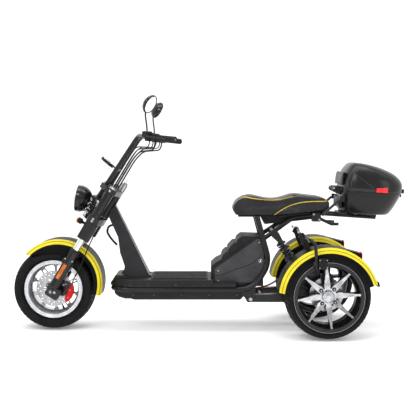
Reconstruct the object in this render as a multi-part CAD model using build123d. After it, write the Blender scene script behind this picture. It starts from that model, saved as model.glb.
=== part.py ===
"""Electric tricycle: one fat front wheel on a raked telescopic fork, two rear wheels on a live axle.

Millimetres. +X points forward, +Y to the rider's left, +Z up. The origin lies on the ground under
the middle of the whole machine's outline. Each named piece is written to parts/NAME.step.
"""

from build123d import *
from math import cos, pi, radians, sin, sqrt, tan
import os

os.makedirs("parts", exist_ok=True)

# ---------------------------------------------------------------- driving dimensions
WHEELBASE = 1562.0
FRONT_AXLE_X = 906.0
REAR_AXLE_X = FRONT_AXLE_X - WHEELBASE
TRACK = 580.0

SEAT_GAP = 0.3  # between pieces that rest on each other
RUN_FIT = 0.05  # radial clearance of a turning fit
MOVE_GAP = 6.0  # between pieces that move past each other

# Front wheel, 215/40-12
FRONT_TYRE_R = 238.5
FRONT_TYRE_WIDTH = 215.0
FRONT_BEAD_R = 152.5
FRONT_FLANGE_R = 168.5
FRONT_RIM_WIDTH = 172.0
FRONT_SPOKE_PAIRS = 10
SPOKE_D = 6.0
FRONT_DISC_R = 104.0
FRONT_DISC_Y = 62.0

# Rear wheels, 205/30-14
REAR_TYRE_R = 239.3
REAR_TYRE_WIDTH = 205.0
REAR_BEAD_R = 178.0
REAR_FLANGE_R = 195.0
REAR_RIM_WIDTH = 190.0
STAR_ARMS = 8
STAR_TIP_R = 167.0
STAR_ROOT_WIDTH = 34.0
STAR_TIP_WIDTH = 8.0
STAR_TURN = 5.0
LUG_CIRCLE_R = 50.8
REAR_DISC_R = 95.0
HUB_INNER = 46.0
RIM_WALL = 5.0
TYRE_WALL = 15.0

# Fork and steering
RAKE = 31.0
FORK_OFFSET = 30.0
FORK_HALF = 148.0
STANCHION_D = 38.0
SLIDER_D = 56.0
SLIDER_TOP = 265.0
AXLE_FLAT = 23.0
FENDER_BOLT = 186.0
CALIPER_Y = FRONT_DISC_Y + 22 + SEAT_GAP
CALIPER_BOSS = (-40.0, 6.0)
CALIPER_ANGLE = 196.5
CALIPER_R = 95.0
CALIPER_LONG = 104.0
COVER_BOTTOM = 350.0
LOWER_CLAMP = 455.0
LOWER_CLAMP_THICK = 42.0
UPPER_CLAMP = 655.0
UPPER_CLAMP_THICK = 30.0
CLAMP_HALF = 178.0
CLAMP_NOSE = 40.0
COVER_R = 27.0
SHELF_REAR = 6.0
STEM_R = 17.0
HEAD_TUBE_D = 56.0
FRONT_AXLE_D = 20.0
FRONT_HUB_HALF = 78.0

# Handlebar
BAR_D = 25.4
RISER_HALF = 92.0
RISER_FORWARD = 46.0
GRIP_D = 34.0
GRIP_LENGTH = 128.0
MIRROR_D = 108.0
MIRROR_DEPTH = 36.0

RISER_FOOT = 600.0
BAR_KNEE = (405.0, RISER_HALF + 4, 1128.0)
BAR_SWEEP = (352.0, 262.0, 1118.0)
BAR_END = (186.0, 410.0, 1100.0)
MIRROR_CENTRE = (318.0, 330.0, 1291.0)
MIRROR_TURN = 28.0
MIRROR_TIP = 28.0
CABLE_DS = (9.0, 6.5, 6.5)
HOSE_D = 7.0
LOOM_D = 13.0
MOTOR_CABLE_D = 11.0

# Lights and dash
HEADLIGHT_D = 156.0
HEADLIGHT_DEPTH = 92.0
HEADLIGHT_TILT = 9.0
HEADLIGHT_WALL = 5.0
DASH_D = 90.0
DASH_THICK = 18.0

# Fenders
FENDER_WALL = 3.0
FRONT_FENDER_R = 254.0
FRONT_FENDER_HALF = 118.0
REAR_FENDER_R = 276.0
FRONT_SKIRT = 46.0
REAR_INNER_SKIRT = 46.0
FENDER_CORNER = 43.0
FENDER_BEAD = 2.2
FENDER_CENTRE = (-31.0, 36.0)
FENDER_LIP_Z = 165.0

# Deck and battery tray
RAIL_D = 32.0
RAIL_HALF = 150.0
RAIL_Z = 246.0
TRAY_BOTTOM = 185.0
TRAY_REAR = -202.0
DECK_THICK = 43.0
MAT_THICK = 5.0
DECK_HALF = 168.0
DECK_REAR = -312.0
DECK_NARROW = -162.0
DECK_NOSE = 558.0
NOSE_TIP = 575.0
NOSE_TOP = 326.0
DECK_EDGE = 6.0
CASE_STEP = 21.0
FOOT_REAR = 337.0
FOOT_FRONT = 515.0
FOOT_WIDTH = 134.0
CASE_FRONT = -24.0

DECK_TOP = RAIL_Z + RAIL_D / 2 + SEAT_GAP + DECK_THICK + MAT_THICK
TRAY_TOP = RAIL_Z + RAIL_D / 2
RAIL_TOP_HALF = 104.0
RAIL_CORNER = 516.0
RAIL_FRONT = 557.0

# Battery case under the seat
CASE_HALF = 128.0
PANEL_PROUD = 2.5
PANEL_SPLIT = 4.0
CASE_WALL = 4.0

# Seat and rear rack
SEAT_BASE = 667.0
SEAT_CLIMB = 0.114
PAN_THICK = 8.0
PAN_BELLY_HALF = 66.0
SEAT_TUBE_D = 26.0
SEAT_TUBE_HALF = 92.0
CLAMP_X = -612.0
SEAT_WIDTH = 300.0
RACK_TUBE_D = 18.0
RACK_HALF = 85.0
RACK_DROP = 10.0
RACK_STRUT_HALF = 154.0

# Top box
BOX_WIDTH = 390.0
BOX_TILT = 4.0
BOX_WALL = 3.5
BOX_SEAM = 130.0
HINGE_X = 28.0
HINGE_Z = 134.0
HINGE_HALF = 62.0
HINGE_R = 13.0

BOX_FRONT = -10.0
BOX_REAR = -374.0
HINGE_PIN_R = 4.0
PAD_WIDTH = 260.0
PAD_THICK = 13.0
REFLECTOR_THICK = 3.5

# Rear axle and suspension
BOLT_R = 6.0
PIVOT = (-237.0, 192.0)
SHOCK_TOP = (-405.0, 531.0)
SHOCK_FOOT = (REAR_AXLE_X + 111.0, 290.0)
SHOCK_EYE = 24.0
EYE_SHANK_R = 11.5
SPRING_TURNS = 7.0
PAD_RUN = 1.5
REAR_FENDER_IN = TRACK / 2 - REAR_TYRE_WIDTH / 2 - 10.2
REAR_FENDER_OUT = TRACK / 2 + REAR_TYRE_WIDTH / 2 + 13.5
AXLE_TUBE_HALF = REAR_FENDER_IN - 5.3
REAR_SKIRT = 61.0
TAIL_LAMP_Y = TRACK / 2 + 10
TAIL_LAMP_WIDTH = 96.0
FOOTREST_Y = REAR_FENDER_OUT + 18
AXLE_TUBE_D = 60.0
STUB_R = 17.5
ARM_HALF = REAR_FENDER_IN - 59.3
ARM_WIDTH = 40.0
ARM_HEIGHT = 46.0
SHOCK_HALF = ARM_HALF
MOTOR_HALF = ARM_HALF - 32
MOTOR_R = 92.0
GEARCASE_R = 76.0
SPRING_D = 58.0
SPRING_WIRE = 9.0

# ---------------------------------------------------------------- shared frames
C, S = cos(radians(RAKE)), sin(radians(RAKE))
FORK = Plane(origin=(FRONT_AXLE_X, 0, FRONT_TYRE_R), x_dir=(C, 0, S), z_dir=(-S, 0, C))
FRONT_WHEEL = Pos(FRONT_AXLE_X, 0, FRONT_TYRE_R)
REAR_Y = TRACK / 2
BC, BS = cos(radians(BOX_TILT)), sin(radians(BOX_TILT))
BOX = Plane(origin=(-740, 0, 690), x_dir=(BC, 0, BS), z_dir=(-BS, 0, BC))

NODES = {}


def keep(name, shape):
    """Files a finished piece under its name."""
    NODES[name] = shape


def both_sides(part):
    """A piece and its mirror image across the centre plane, as two solids."""
    return Part() + [part, mirror(part, Plane.XZ)]


def side_body(face, y_mid, width):
    """A side-view outline (x, z) given a width across the machine."""
    return Pos(0, y_mid, 0) * extrude(Plane.XZ * face, amount=width / 2, both=True)


def rod(start, end, diameter):
    """A straight round bar between two points."""
    path = Line(start, end)
    return extrude(Plane(origin=path @ 0, z_dir=path % 0) * Circle(diameter / 2), amount=path.length)


def tube(points, radius, diameter):
    """A round bar along straight runs joined by tangent arcs."""
    path = FilletPolyline(*points, radius=radius)
    return sweep(Plane(origin=path @ 0, z_dir=path % 0) * Circle(diameter / 2), path=path)


def cable(points, diameter):
    """A cable whose bends are as wide as the runs beside them allow."""
    route = [Vector(p) for p in points]
    radii = []
    for before, corner, after in zip(route, route[1:], route[2:]):
        turn = radians((corner - before).get_angle(after - corner))
        shorter = min((corner - before).length, (after - corner).length)
        radii.append(0.45 * shorter / tan(turn / 2))
    return tube([tuple(p) for p in route], radii, diameter)


def across(radius, y0, y1, x=0.0, z=0.0):
    """A cylinder that lies across the machine from y0 to y1."""
    face = Plane(origin=(x, y0, z), z_dir=(0, 1, 0)) * Circle(radius)
    return extrude(face, amount=y1 - y0)


def turned(points):
    """A solid of revolution about the wheel axle, from (radius, y) points."""
    return revolve(make_face(Polyline(*points, close=True)), Axis.Y)


# ---------------------------------------------------------------- wheels
def tyre(outer_r, width, bead_r, rim_width):
    """Low tyre with rounded shoulders, hollow, its beads inside the rim's flanges."""
    half = width / 2
    heel = rim_width / 2 - RIM_WALL - SEAT_GAP
    bead = bead_r + SEAT_GAP
    belly = outer_r * 0.52 + bead_r * 0.48
    shoulder_r, shoulder_y = outer_r - 13, half - 13
    flange_top = bead + 22
    edges = [
        ThreePointArc((shoulder_r, shoulder_y), (outer_r, 0), (shoulder_r, -shoulder_y)),
        ThreePointArc(
            (shoulder_r - TYRE_WALL, shoulder_y - TYRE_WALL), (outer_r - TYRE_WALL, 0),
            (shoulder_r - TYRE_WALL, TYRE_WALL - shoulder_y)),
    ]
    for side in (1, -1):
        edges += [
            Line((bead, side * (heel - TYRE_WALL)), (bead, side * heel)),
            Line((bead, side * heel), (flange_top, side * heel)),
            ThreePointArc((flange_top, side * heel), (belly, side * half), (shoulder_r, side * shoulder_y)),
            Line((bead, side * (heel - TYRE_WALL)), (flange_top, side * (heel - TYRE_WALL))),
            ThreePointArc(
                (flange_top, side * (heel - TYRE_WALL)), (belly, side * (half - TYRE_WALL)),
                (shoulder_r - TYRE_WALL, side * (shoulder_y - TYRE_WALL))),
        ]
    return revolve(make_face(Curve() + edges), Axis.Y)


def rim_barrel(bead_r, flange_r, width, drop):
    """Rim barrel with rolled flanges, bead seats and a drop centre."""
    half, wall = width / 2, RIM_WALL
    well_r = bead_r - drop
    outer = [
        (flange_r, -half), (flange_r, -half + wall), (bead_r, -half + wall), (bead_r, -half * 0.62),
        (well_r, -half * 0.36), (well_r, half * 0.36), (bead_r, half * 0.62), (bead_r, half - wall),
        (flange_r, half - wall), (flange_r, half),
    ]
    inner = [
        (bead_r - wall, half), (bead_r - wall, half * 0.6), (well_r - wall, half * 0.32),
        (well_r - wall, -half * 0.32), (bead_r - wall, -half * 0.6), (bead_r - wall, -half),
    ]
    return turned(outer + inner)


def front_spoke(angle, lean, y_hub, y_rim):
    """One slim spoke from the hub flange to the rim's well."""
    hub_r = 44.0
    rim_r = FRONT_BEAD_R - 14 - RIM_WALL / 2
    a0, a1 = radians(angle), radians(angle + lean)
    start = (hub_r * cos(a0), y_hub, hub_r * sin(a0))
    end = (rim_r * cos(a1), y_rim, rim_r * sin(a1))
    return rod(start, end, SPOKE_D)


def front_rim():
    """Bright front rim with a black hub shell and paired slim spokes."""
    body = rim_barrel(FRONT_BEAD_R, FRONT_FLANGE_R, FRONT_RIM_WIDTH, 14.0)
    hub = turned([
        (FRONT_AXLE_D / 2 + RUN_FIT, -FRONT_HUB_HALF), (30, -FRONT_HUB_HALF), (34, -46), (48, -44), (48, -36),
        (32, -30), (32, 30), (48, 36), (48, 44), (40, 48), (40, FRONT_DISC_Y - 3), (30, FRONT_DISC_Y - 3),
        (30, FRONT_HUB_HALF), (FRONT_AXLE_D / 2 + RUN_FIT, FRONT_HUB_HALF),
    ])
    body += hub
    step = 360 / FRONT_SPOKE_PAIRS
    for i in range(FRONT_SPOKE_PAIRS):
        y_side = 40 if i % 2 else -40
        for lean in (-8, 8):
            body += front_spoke(i * step + lean * 0.9, lean, y_side, y_side * 0.3)
    return body


def brake_disc(radius, y_mid, bore_r, holes):
    """Flat disc rotor with rings of cooling holes and a pierced carrier."""
    disc = across(radius, y_mid - 2, y_mid + 2) - across(bore_r, y_mid - 3, y_mid + 3)
    for ring, (share, count) in enumerate(((0.90, holes), (0.78, holes))):
        for i in range(count):
            a = radians((i + 0.5 * ring) * 360 / count)
            disc -= across(3.6, y_mid - 3, y_mid + 3, radius * share * cos(a), radius * share * sin(a))
    for i in range(6):
        a = radians(i * 60)
        r = (bore_r + radius * 0.68) / 2 + 2
        disc -= across(9.0, y_mid - 3, y_mid + 3, r * cos(a), r * sin(a))
    return disc


def star_sketch():
    """Eight tapered arms with small round tips, seen along the axle."""
    half_root, half_tip = STAR_ROOT_WIDTH / 2, STAR_TIP_WIDTH / 2
    arm = make_face(Polyline(
        (30, -half_root * 0.75), (62, -half_root), (STAR_TIP_R, -half_tip), (STAR_TIP_R, half_tip),
        (62, half_root), (30, half_root * 0.75), close=True,
    ))
    arm += Pos(STAR_TIP_R, 0) * Circle(STAR_TIP_WIDTH * 0.8)
    star = Circle(46)
    for i in range(STAR_ARMS):
        star += Rot(0, 0, i * 360 / STAR_ARMS + STAR_TURN) * arm
    return star


def rear_star():
    """Machined star face: arms that dish in from the rim's lip to the hub."""
    lip = REAR_RIM_WIDTH / 2 - 8
    hub_y = 40.0
    reach = REAR_BEAD_R - RIM_WALL - 2 * SEAT_GAP
    dish = turned([
        (0, hub_y - 12), (62, hub_y - 12), (reach, lip - 14), (reach, lip), (62, hub_y + 4), (38, hub_y + 2),
        (0, hub_y + 2),
    ])
    prism = extrude(Plane(origin=(0, 0, 0), x_dir=(1, 0, 0), z_dir=(0, 1, 0)) * star_sketch(), amount=lip + 20)
    star = dish & prism
    for i in range(4):
        a = radians(45 + i * 90 - STAR_TURN)
        star -= across(6.5, hub_y - 14, hub_y + 8, LUG_CIRCLE_R * cos(a), LUG_CIRCLE_R * sin(a))
    cap = turned([(0, hub_y), (35, hub_y), (35, hub_y + 10), (30, hub_y + 16), (0, hub_y + 19)])
    return star + cap


def rear_rim():
    """Black rear rim barrel with the dark disc that backs the star."""
    barrel = rim_barrel(REAR_BEAD_R, REAR_FLANGE_R, REAR_RIM_WIDTH, 15.0)
    hub_y = 40.0 - 12 - SEAT_GAP
    ring = turned([(STUB_R + RUN_FIT, 8), (62, 8), (62, hub_y), (STUB_R + RUN_FIT, hub_y)])
    barrel += ring
    well = REAR_BEAD_R - 15 - RIM_WALL / 2
    for i in range(STAR_ARMS):
        turn = Rot(0, STAR_TURN - i * 360 / STAR_ARMS, 0)
        barrel += turn * (Pos((well + 55) / 2, 16, 0) * Box(well - 55, 12, 16))
    return barrel


def rear_hub():
    """Hub barrel that runs on the stub axle and carries the brake disc."""
    bore = STUB_R + RUN_FIT
    return turned([
        (bore, -HUB_INNER), (34, -HUB_INNER), (34, -32), (REAR_DISC_R, -32), (REAR_DISC_R, -28), (50, -28), (50, -20),
        (36, -14), (36, -2), (60, 2), (60, 8 - SEAT_GAP), (bore, 8 - SEAT_GAP),
    ])


def make_wheels():
    keep("front_tyre", FRONT_WHEEL * tyre(FRONT_TYRE_R, FRONT_TYRE_WIDTH, FRONT_BEAD_R, FRONT_RIM_WIDTH))
    keep("front_rim", FRONT_WHEEL * front_rim())
    keep("front_brake_disc", FRONT_WHEEL * brake_disc(FRONT_DISC_R, FRONT_DISC_Y, 30 + SEAT_GAP, 18))
    for side, name in ((1, "left"), (-1, "right")):
        place = Pos(REAR_AXLE_X, side * REAR_Y, REAR_TYRE_R)

        def put(part):
            return place * (part if side > 0 else mirror(part, Plane.XZ))

        keep(f"rear_tyre_{name}", put(tyre(REAR_TYRE_R, REAR_TYRE_WIDTH, REAR_BEAD_R, REAR_RIM_WIDTH)))
        keep(f"rear_rim_{name}", put(rear_rim()))
        keep(f"rear_star_{name}", put(rear_star()))
        keep(f"rear_hub_{name}", put(rear_hub()))


# ---------------------------------------------------------------- fork and steering
def on_fork(part):
    """Moves a piece from the fork's own frame (x ahead of the legs, z up along them)."""
    return FORK.location * part


def fork_sliders():
    """Black lower legs with a blind bore for the stanchion and an axle lug."""
    leg = Pos(0, FORK_HALF, -18) * Cylinder(SLIDER_D / 2, SLIDER_TOP + 18, align=(Align.CENTER, Align.CENTER, Align.MIN))
    lug = Pos(-14, FORK_HALF, 0) * Box(84, 2 * AXLE_FLAT, 62)
    leg += fillet(lug.edges().filter_by(Axis.Y), 16)
    leg += Pos(0, FORK_HALF, SLIDER_TOP - 18) * Cylinder(SLIDER_D / 2 + 1.5, 18, align=(Align.CENTER, Align.CENTER, Align.MIN))
    leg -= Pos(0, FORK_HALF, SLIDER_TOP - 70) * Cylinder(
        STANCHION_D / 2 + SEAT_GAP, 80, align=(Align.CENTER, Align.CENTER, Align.MIN))
    leg -= across(FRONT_AXLE_D / 2 + SEAT_GAP, FORK_HALF - 60, FORK_HALF + 60)
    for side in (1, -1):
        leg -= Pos(0, FORK_HALF + side * (AXLE_FLAT + 20), -10) * Box(140, 40, 84)
    ear_y = FRONT_FENDER_HALF + SEAT_GAP
    leg += Pos(3, (ear_y + FORK_HALF) / 2, FENDER_BOLT) * Box(70, FORK_HALF - ear_y, 26)
    leg -= Pos(0, FORK_HALF, SLIDER_TOP - 70) * Cylinder(
        STANCHION_D / 2 + SEAT_GAP, 80, align=(Align.CENTER, Align.CENTER, Align.MIN))
    ears = Pos(CALIPER_BOSS[0], (CALIPER_Y + FORK_HALF) / 2, CALIPER_BOSS[1]) * Box(26, FORK_HALF - CALIPER_Y, 34)
    plate = make_face(FilletPolyline(
        (-16, 24), (-56, 44), (-98, 36), (-94, 8), (-78, -6), (-72, -34), (-50, -42), (-26, -24),
        radius=6, close=True))
    bracket = FRONT_WHEEL * side_body(plate, CALIPER_Y + 4, 8)
    keep("fork_sliders", on_fork(both_sides(leg) + ears) + bracket)


def fork_stanchions():
    """Bright upper legs from inside the sliders up to the upper clamp."""
    bottom = SLIDER_TOP - 70 + SEAT_GAP
    top = UPPER_CLAMP + UPPER_CLAMP_THICK + 4
    leg = Pos(0, FORK_HALF, bottom) * Cylinder(STANCHION_D / 2, top - bottom, align=(Align.CENTER, Align.CENTER, Align.MIN))
    keep("fork_stanchions", on_fork(both_sides(leg)))


def clamp_plate(z, thick, nose):
    """A clamp plate across both legs and the stem, with a forward nose."""
    outline = make_face(Polyline(
        (-56, -32), (-56, 32), (-34, CLAMP_HALF - 14), (-14, CLAMP_HALF), (18, CLAMP_HALF), (34, CLAMP_HALF - 14),
        (nose, RISER_HALF + 22), (nose, -RISER_HALF - 22), (34, -CLAMP_HALF + 14), (18, -CLAMP_HALF),
        (-14, -CLAMP_HALF), (-34, -CLAMP_HALF + 14), close=True))
    return Pos(0, 0, z) * extrude(outline, amount=thick)


def fork_clamps():
    """Lower and upper clamps joined by the steering stem."""
    body = clamp_plate(LOWER_CLAMP, LOWER_CLAMP_THICK, CLAMP_NOSE)
    body += clamp_plate(UPPER_CLAMP, UPPER_CLAMP_THICK, RISER_FORWARD + 24)
    body += Pos(-FORK_OFFSET, 0, LOWER_CLAMP) * Cylinder(
        STEM_R, UPPER_CLAMP - LOWER_CLAMP + 2, align=(Align.CENTER, Align.CENTER, Align.MIN))
    for side in (1, -1):
        body -= Pos(0, side * FORK_HALF, LOWER_CLAMP - 5) * Cylinder(
            STANCHION_D / 2 + SEAT_GAP, 300, align=(Align.CENTER, Align.CENTER, Align.MIN))
    shelf = Pos(CLAMP_NOSE / 2 + 16, 0, RISER_FOOT - 12 - SEAT_GAP) * extrude(
        RectangleRounded(CLAMP_NOSE + 22, 2 * CLAMP_HALF - 20, 8), amount=12)
    for side in (1, -1):
        shelf -= Pos(0, side * FORK_HALF, RISER_FOOT - 40) * Cylinder(COVER_R + SEAT_GAP, 80)
    shelf -= Pos(0, 0, RISER_FOOT - 40) * Box(2 * SHELF_REAR, 200, 80)
    riser = tube(bar_points(), [44, 60], BAR_D + 2 * SEAT_GAP)
    keep("fork_clamps", on_fork(body + shelf) - riser - mirror(riser, Plane.XZ))


def fork_covers():
    """Square lower covers and round upper covers over the bright legs."""
    lower = Pos(-4, FORK_HALF, 0) * RectangleRounded(74, 62, 16)
    lower = Pos(0, 0, COVER_BOTTOM) * extrude(lower, amount=LOWER_CLAMP - COVER_BOTTOM - SEAT_GAP)
    upper_z = LOWER_CLAMP + LOWER_CLAMP_THICK + SEAT_GAP
    upper = Pos(0, FORK_HALF, upper_z) * Cylinder(COVER_R, UPPER_CLAMP - upper_z - SEAT_GAP, align=(Align.CENTER, Align.CENTER, Align.MIN))
    pair = lower + upper
    pair -= Pos(0, FORK_HALF, COVER_BOTTOM - 5) * Cylinder(
        STANCHION_D / 2 + SEAT_GAP, 400, align=(Align.CENTER, Align.CENTER, Align.MIN))
    keep("fork_covers", on_fork(both_sides(pair)))


def front_axle():
    """Axle bar with a spacer each side of the hub and end nuts."""
    end = FORK_HALF + AXLE_FLAT
    bar = across(FRONT_AXLE_D / 2, -end - 12, end + 12)
    for side in (1, -1):
        inner = FRONT_HUB_HALF + 0.5
        outer = FORK_HALF - AXLE_FLAT - SEAT_GAP
        bar += across(16, min(side * inner, side * outer), max(side * inner, side * outer))
        nut = Plane(origin=(0, side * (end + SEAT_GAP), 0), z_dir=(0, side, 0)) * RegularPolygon(17, 6)
        bar += extrude(nut, amount=11)
    keep("front_axle", FRONT_WHEEL * bar)


def front_caliper():
    """Red caliper astride the disc, on a bracket from the left slider's lug."""
    body = Box(46, 44, CALIPER_LONG)
    body = fillet(body.edges().filter_by(Axis.Y), 14)
    body -= Pos(11, 0, 0) * Box(44, 4 + 2 * PAD_RUN, CALIPER_LONG + 16)
    a = radians(CALIPER_ANGLE)
    place = Pos(CALIPER_R * cos(a), FRONT_DISC_Y, CALIPER_R * sin(a)) * Rot(0, 180 - CALIPER_ANGLE, 0)
    keep("front_caliper", FRONT_WHEEL * place * body)


def arch(radius, thick, a0, a1, y0, y1):
    """A curved panel: part of a ring about the y axis, angles from straight ahead upwards."""
    mid = radians((a0 + a1) / 2)
    a0, a1 = radians(a0), radians(a1)

    def at(r, a):
        return (r * cos(a), r * sin(a))

    inner = radius - thick
    face = make_face(Curve() + [
        ThreePointArc(at(radius, a0), at(radius, mid), at(radius, a1)),
        Line(at(radius, a1), at(inner, a1)),
        ThreePointArc(at(inner, a1), at(inner, mid), at(inner, a0)),
        Line(at(inner, a0), at(radius, a0)),
    ])
    return side_body(face, (y0 + y1) / 2, y1 - y0)


def fender_panel(radius, skirt_in, skirt_out, y_in, y_out, a0, a1):
    """Rolled fender sheet: its section turned about the wheel between two angles from straight ahead."""
    low_in, low_out, wall, corner = radius - skirt_in, radius - skirt_out, FENDER_WALL, FENDER_CORNER
    outer = FilletPolyline(
        (low_in, y_in), (radius, y_in), (radius, y_out), (low_out, y_out), radius=[corner, corner])
    inner = FilletPolyline(
        (low_in, y_in + wall), (radius - wall, y_in + wall), (radius - wall, y_out - wall),
        (low_out, y_out - wall), radius=[corner - wall, corner - wall])
    ends = [Line((low_in, y_in), (low_in, y_in + wall)), Line((low_out, y_out), (low_out, y_out - wall))]
    section = make_face(Curve() + [outer, inner] + ends)
    section += Pos(low_in, y_in + wall / 2) * Circle(FENDER_BEAD)
    section += Pos(low_out, y_out - wall / 2) * Circle(FENDER_BEAD)
    return Rot(0, -a1, 0) * revolve(section, Axis.Y, revolution_arc=a1 - a0)


def front_fender():
    """Domed front fender cut level at its front lip, with side plates that bolt to the sliders."""
    half = FRONT_FENDER_HALF - FENDER_BEAD + FENDER_WALL / 2
    panel = fender_panel(FRONT_FENDER_R, FRONT_SKIRT, FRONT_SKIRT, -half, half, 36, 197)
    panel -= Pos(200, 0, FENDER_LIP_Z - 50) * Box(200, 2 * FRONT_FENDER_HALF + 20, 100)
    panel = Pos(FENDER_CENTRE[0], 0, FENDER_CENTRE[1]) * panel
    plate = make_face(FilletPolyline(
        (112, 200), (60, 210), (-44, 214), (-60, 167), (-115, 134), (-165, 200), (-114, 233), (-31, 250),
        (50, 234), radius=6, close=True))
    plate = side_body(plate, FRONT_FENDER_HALF - 2, 4)
    keep("front_fender", FRONT_WHEEL * (panel + both_sides(plate)))


def headlight_frame():
    t = radians(HEADLIGHT_TILT)
    return Plane(origin=(775, 0, 764), x_dir=(sin(t), 0, -cos(t)), z_dir=(0, -1, 0))


def bowl(radius, lip, depth):
    """Closed outline of a domed bowl: a straight lip, then a rounded back on the axis."""
    mid = cos(pi / 4)
    back = depth - lip
    return [
        Line((radius, 0), (radius, -lip)),
        ThreePointArc((radius, -lip), (radius * mid, -lip - back * mid), (3, -depth)),
        Line((3, -depth), (0, -depth)),
    ]


def headlight():
    """Round bucket, open at the front, with a domed lens."""
    wall = HEADLIGHT_WALL
    outer = headlight_form()
    inner_r, inner_depth = HEADLIGHT_D / 2 - wall, HEADLIGHT_DEPTH - wall
    inner = revolve(make_face(Curve() + bowl(inner_r, 16, inner_depth) + [
        Line((0, -inner_depth), (0, 0)), Line((0, 0), (inner_r, 0))]), Axis.Y)
    frame = headlight_frame()
    keep("headlight_bucket", frame.location * (outer - inner))
    lens_r = inner_r - SEAT_GAP
    lens = make_face(Curve() + [
        Line((0, -8), (lens_r, -8)), Line((lens_r, -8), (lens_r, -2)),
        ThreePointArc((lens_r, -2), (lens_r * 0.6, 11), (3, 18)), Line((3, 18), (0, 18)), Line((0, 18), (0, -8)),
    ])
    keep("headlight_lens", frame.location * revolve(lens, Axis.Y))


def headlight_form(extra=0.0):
    """The bucket's closed outer form, grown by a clearance."""
    r, depth = HEADLIGHT_D / 2 + extra, HEADLIGHT_DEPTH + extra
    return revolve(make_face(Curve() + bowl(r, 16, depth) + [Line((0, -depth), (0, 0)), Line((0, 0), (r, 0))]), Axis.Y)


def headlight_bracket():
    """Bracket from the lower clamp's nose up to the back of the bucket."""
    nose = CLAMP_NOSE + SEAT_GAP
    outline = make_face(Polyline(
        (nose, LOWER_CLAMP + 4), (nose, LOWER_CLAMP + 38), (nose + 4, LOWER_CLAMP + 100), (82, LOWER_CLAMP + 132),
        (106, LOWER_CLAMP + 104), (84, LOWER_CLAMP + 44), (62, LOWER_CLAMP + 8), close=True))
    bracket = on_fork(side_body(outline, 0, 64))
    keep("headlight_bracket", bracket - headlight_frame().location * headlight_form(SEAT_GAP))


def turn_signals():
    """Small bullet lamps on the front of the lower covers."""
    lamp = revolve(make_face(Curve() + [
        Line((0, 0), (8, 0)), Line((8, 0), (8, 12)), Line((8, 12), (17, 20)), Line((17, 20), (17, 38)),
        ThreePointArc((17, 38), (11, 49), (2, 53)), Line((2, 53), (0, 53)), Line((0, 53), (0, 0)),
    ]), Axis.Y)
    place = Plane(origin=(33 + SEAT_GAP, FORK_HALF, COVER_BOTTOM + 84), x_dir=(0, -1, 0), z_dir=(0, 0, 1))
    keep("front_turn_signals", on_fork(both_sides(place.location * lamp)))


def bar_points():
    """Corners of the left half of the bar: riser foot, knee, sweep and end."""
    foot = (FORK.location * Pos(RISER_FORWARD + 2, RISER_HALF, RISER_FOOT)).position
    return [tuple(foot), BAR_KNEE, BAR_SWEEP, BAR_END]


def bar_frame(from_end):
    """A frame on the left bar end, x outwards along the bar, z up, at a distance in from the end."""
    end, sweep_start = Vector(BAR_END), Vector(BAR_SWEEP)
    along = (end - sweep_start).normalized()
    up = (Vector(0, 0, 1) - along * along.Z).normalized()
    return Plane(origin=end - along * from_end, x_dir=along, z_dir=up)


def handlebar():
    """Two tall risers that bend out and sweep back to the grips, tied by a brace."""
    left = tube(bar_points(), [44, 60], BAR_D)
    brace_at = (FORK.location * Pos(RISER_FORWARD - 12, RISER_HALF, UPPER_CLAMP + 130)).position
    brace = rod((brace_at.X, -RISER_HALF, brace_at.Z), (brace_at.X, RISER_HALF, brace_at.Z), 16)
    keep("handlebar", left + mirror(left, Plane.XZ) + brace)


def grips():
    """Rubber grips closed at the outer end."""
    grip = Plane(origin=(-GRIP_LENGTH, 0, 0), z_dir=(1, 0, 0)) * Circle(GRIP_D / 2)
    grip = extrude(grip, amount=GRIP_LENGTH + 6)
    bore = Plane(origin=(-GRIP_LENGTH - 1, 0, 0), z_dir=(1, 0, 0)) * Circle(BAR_D / 2 + SEAT_GAP)
    grip -= extrude(bore, amount=GRIP_LENGTH + 1 + SEAT_GAP)
    grip += Plane(origin=(-GRIP_LENGTH, 0, 0), z_dir=(1, 0, 0)) * Pos(0, 0, 0) * extrude(
        Circle(GRIP_D / 2 + 5) - Circle(BAR_D / 2 + SEAT_GAP), amount=5)
    keep("grips", both_sides(bar_frame(0).location * grip))


def bar_controls():
    """Switch housing, brake master block and lever on each side."""
    housing = Pos(-GRIP_LENGTH - 24, 0, 0) * Box(42, 42, 44)
    housing = fillet(housing.edges().filter_by(Axis.X), 12)
    block = Pos(-GRIP_LENGTH - 58, 4, 2) * Box(30, 46, 46)
    block += Pos(-GRIP_LENGTH - 58, 26, 16) * Box(40, 38, 30)
    body = housing + block + Pos(-GRIP_LENGTH - 46, 0, 0) * Box(12, 34, 34)
    lever = tube([(-GRIP_LENGTH - 56, 34, 8), (-GRIP_LENGTH - 20, 58, 6), (-GRIP_LENGTH + 70, 52, 2), (-8, 60, 0)],
                 [26, 60], 10)
    body += lever
    bore = Plane(origin=(-GRIP_LENGTH - 120, 0, 0), z_dir=(1, 0, 0)) * Circle(BAR_D / 2 + SEAT_GAP)
    body -= extrude(bore, amount=125)
    keep("bar_controls", both_sides(bar_frame(0).location * mirror(body, Plane.XZ)))


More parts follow.
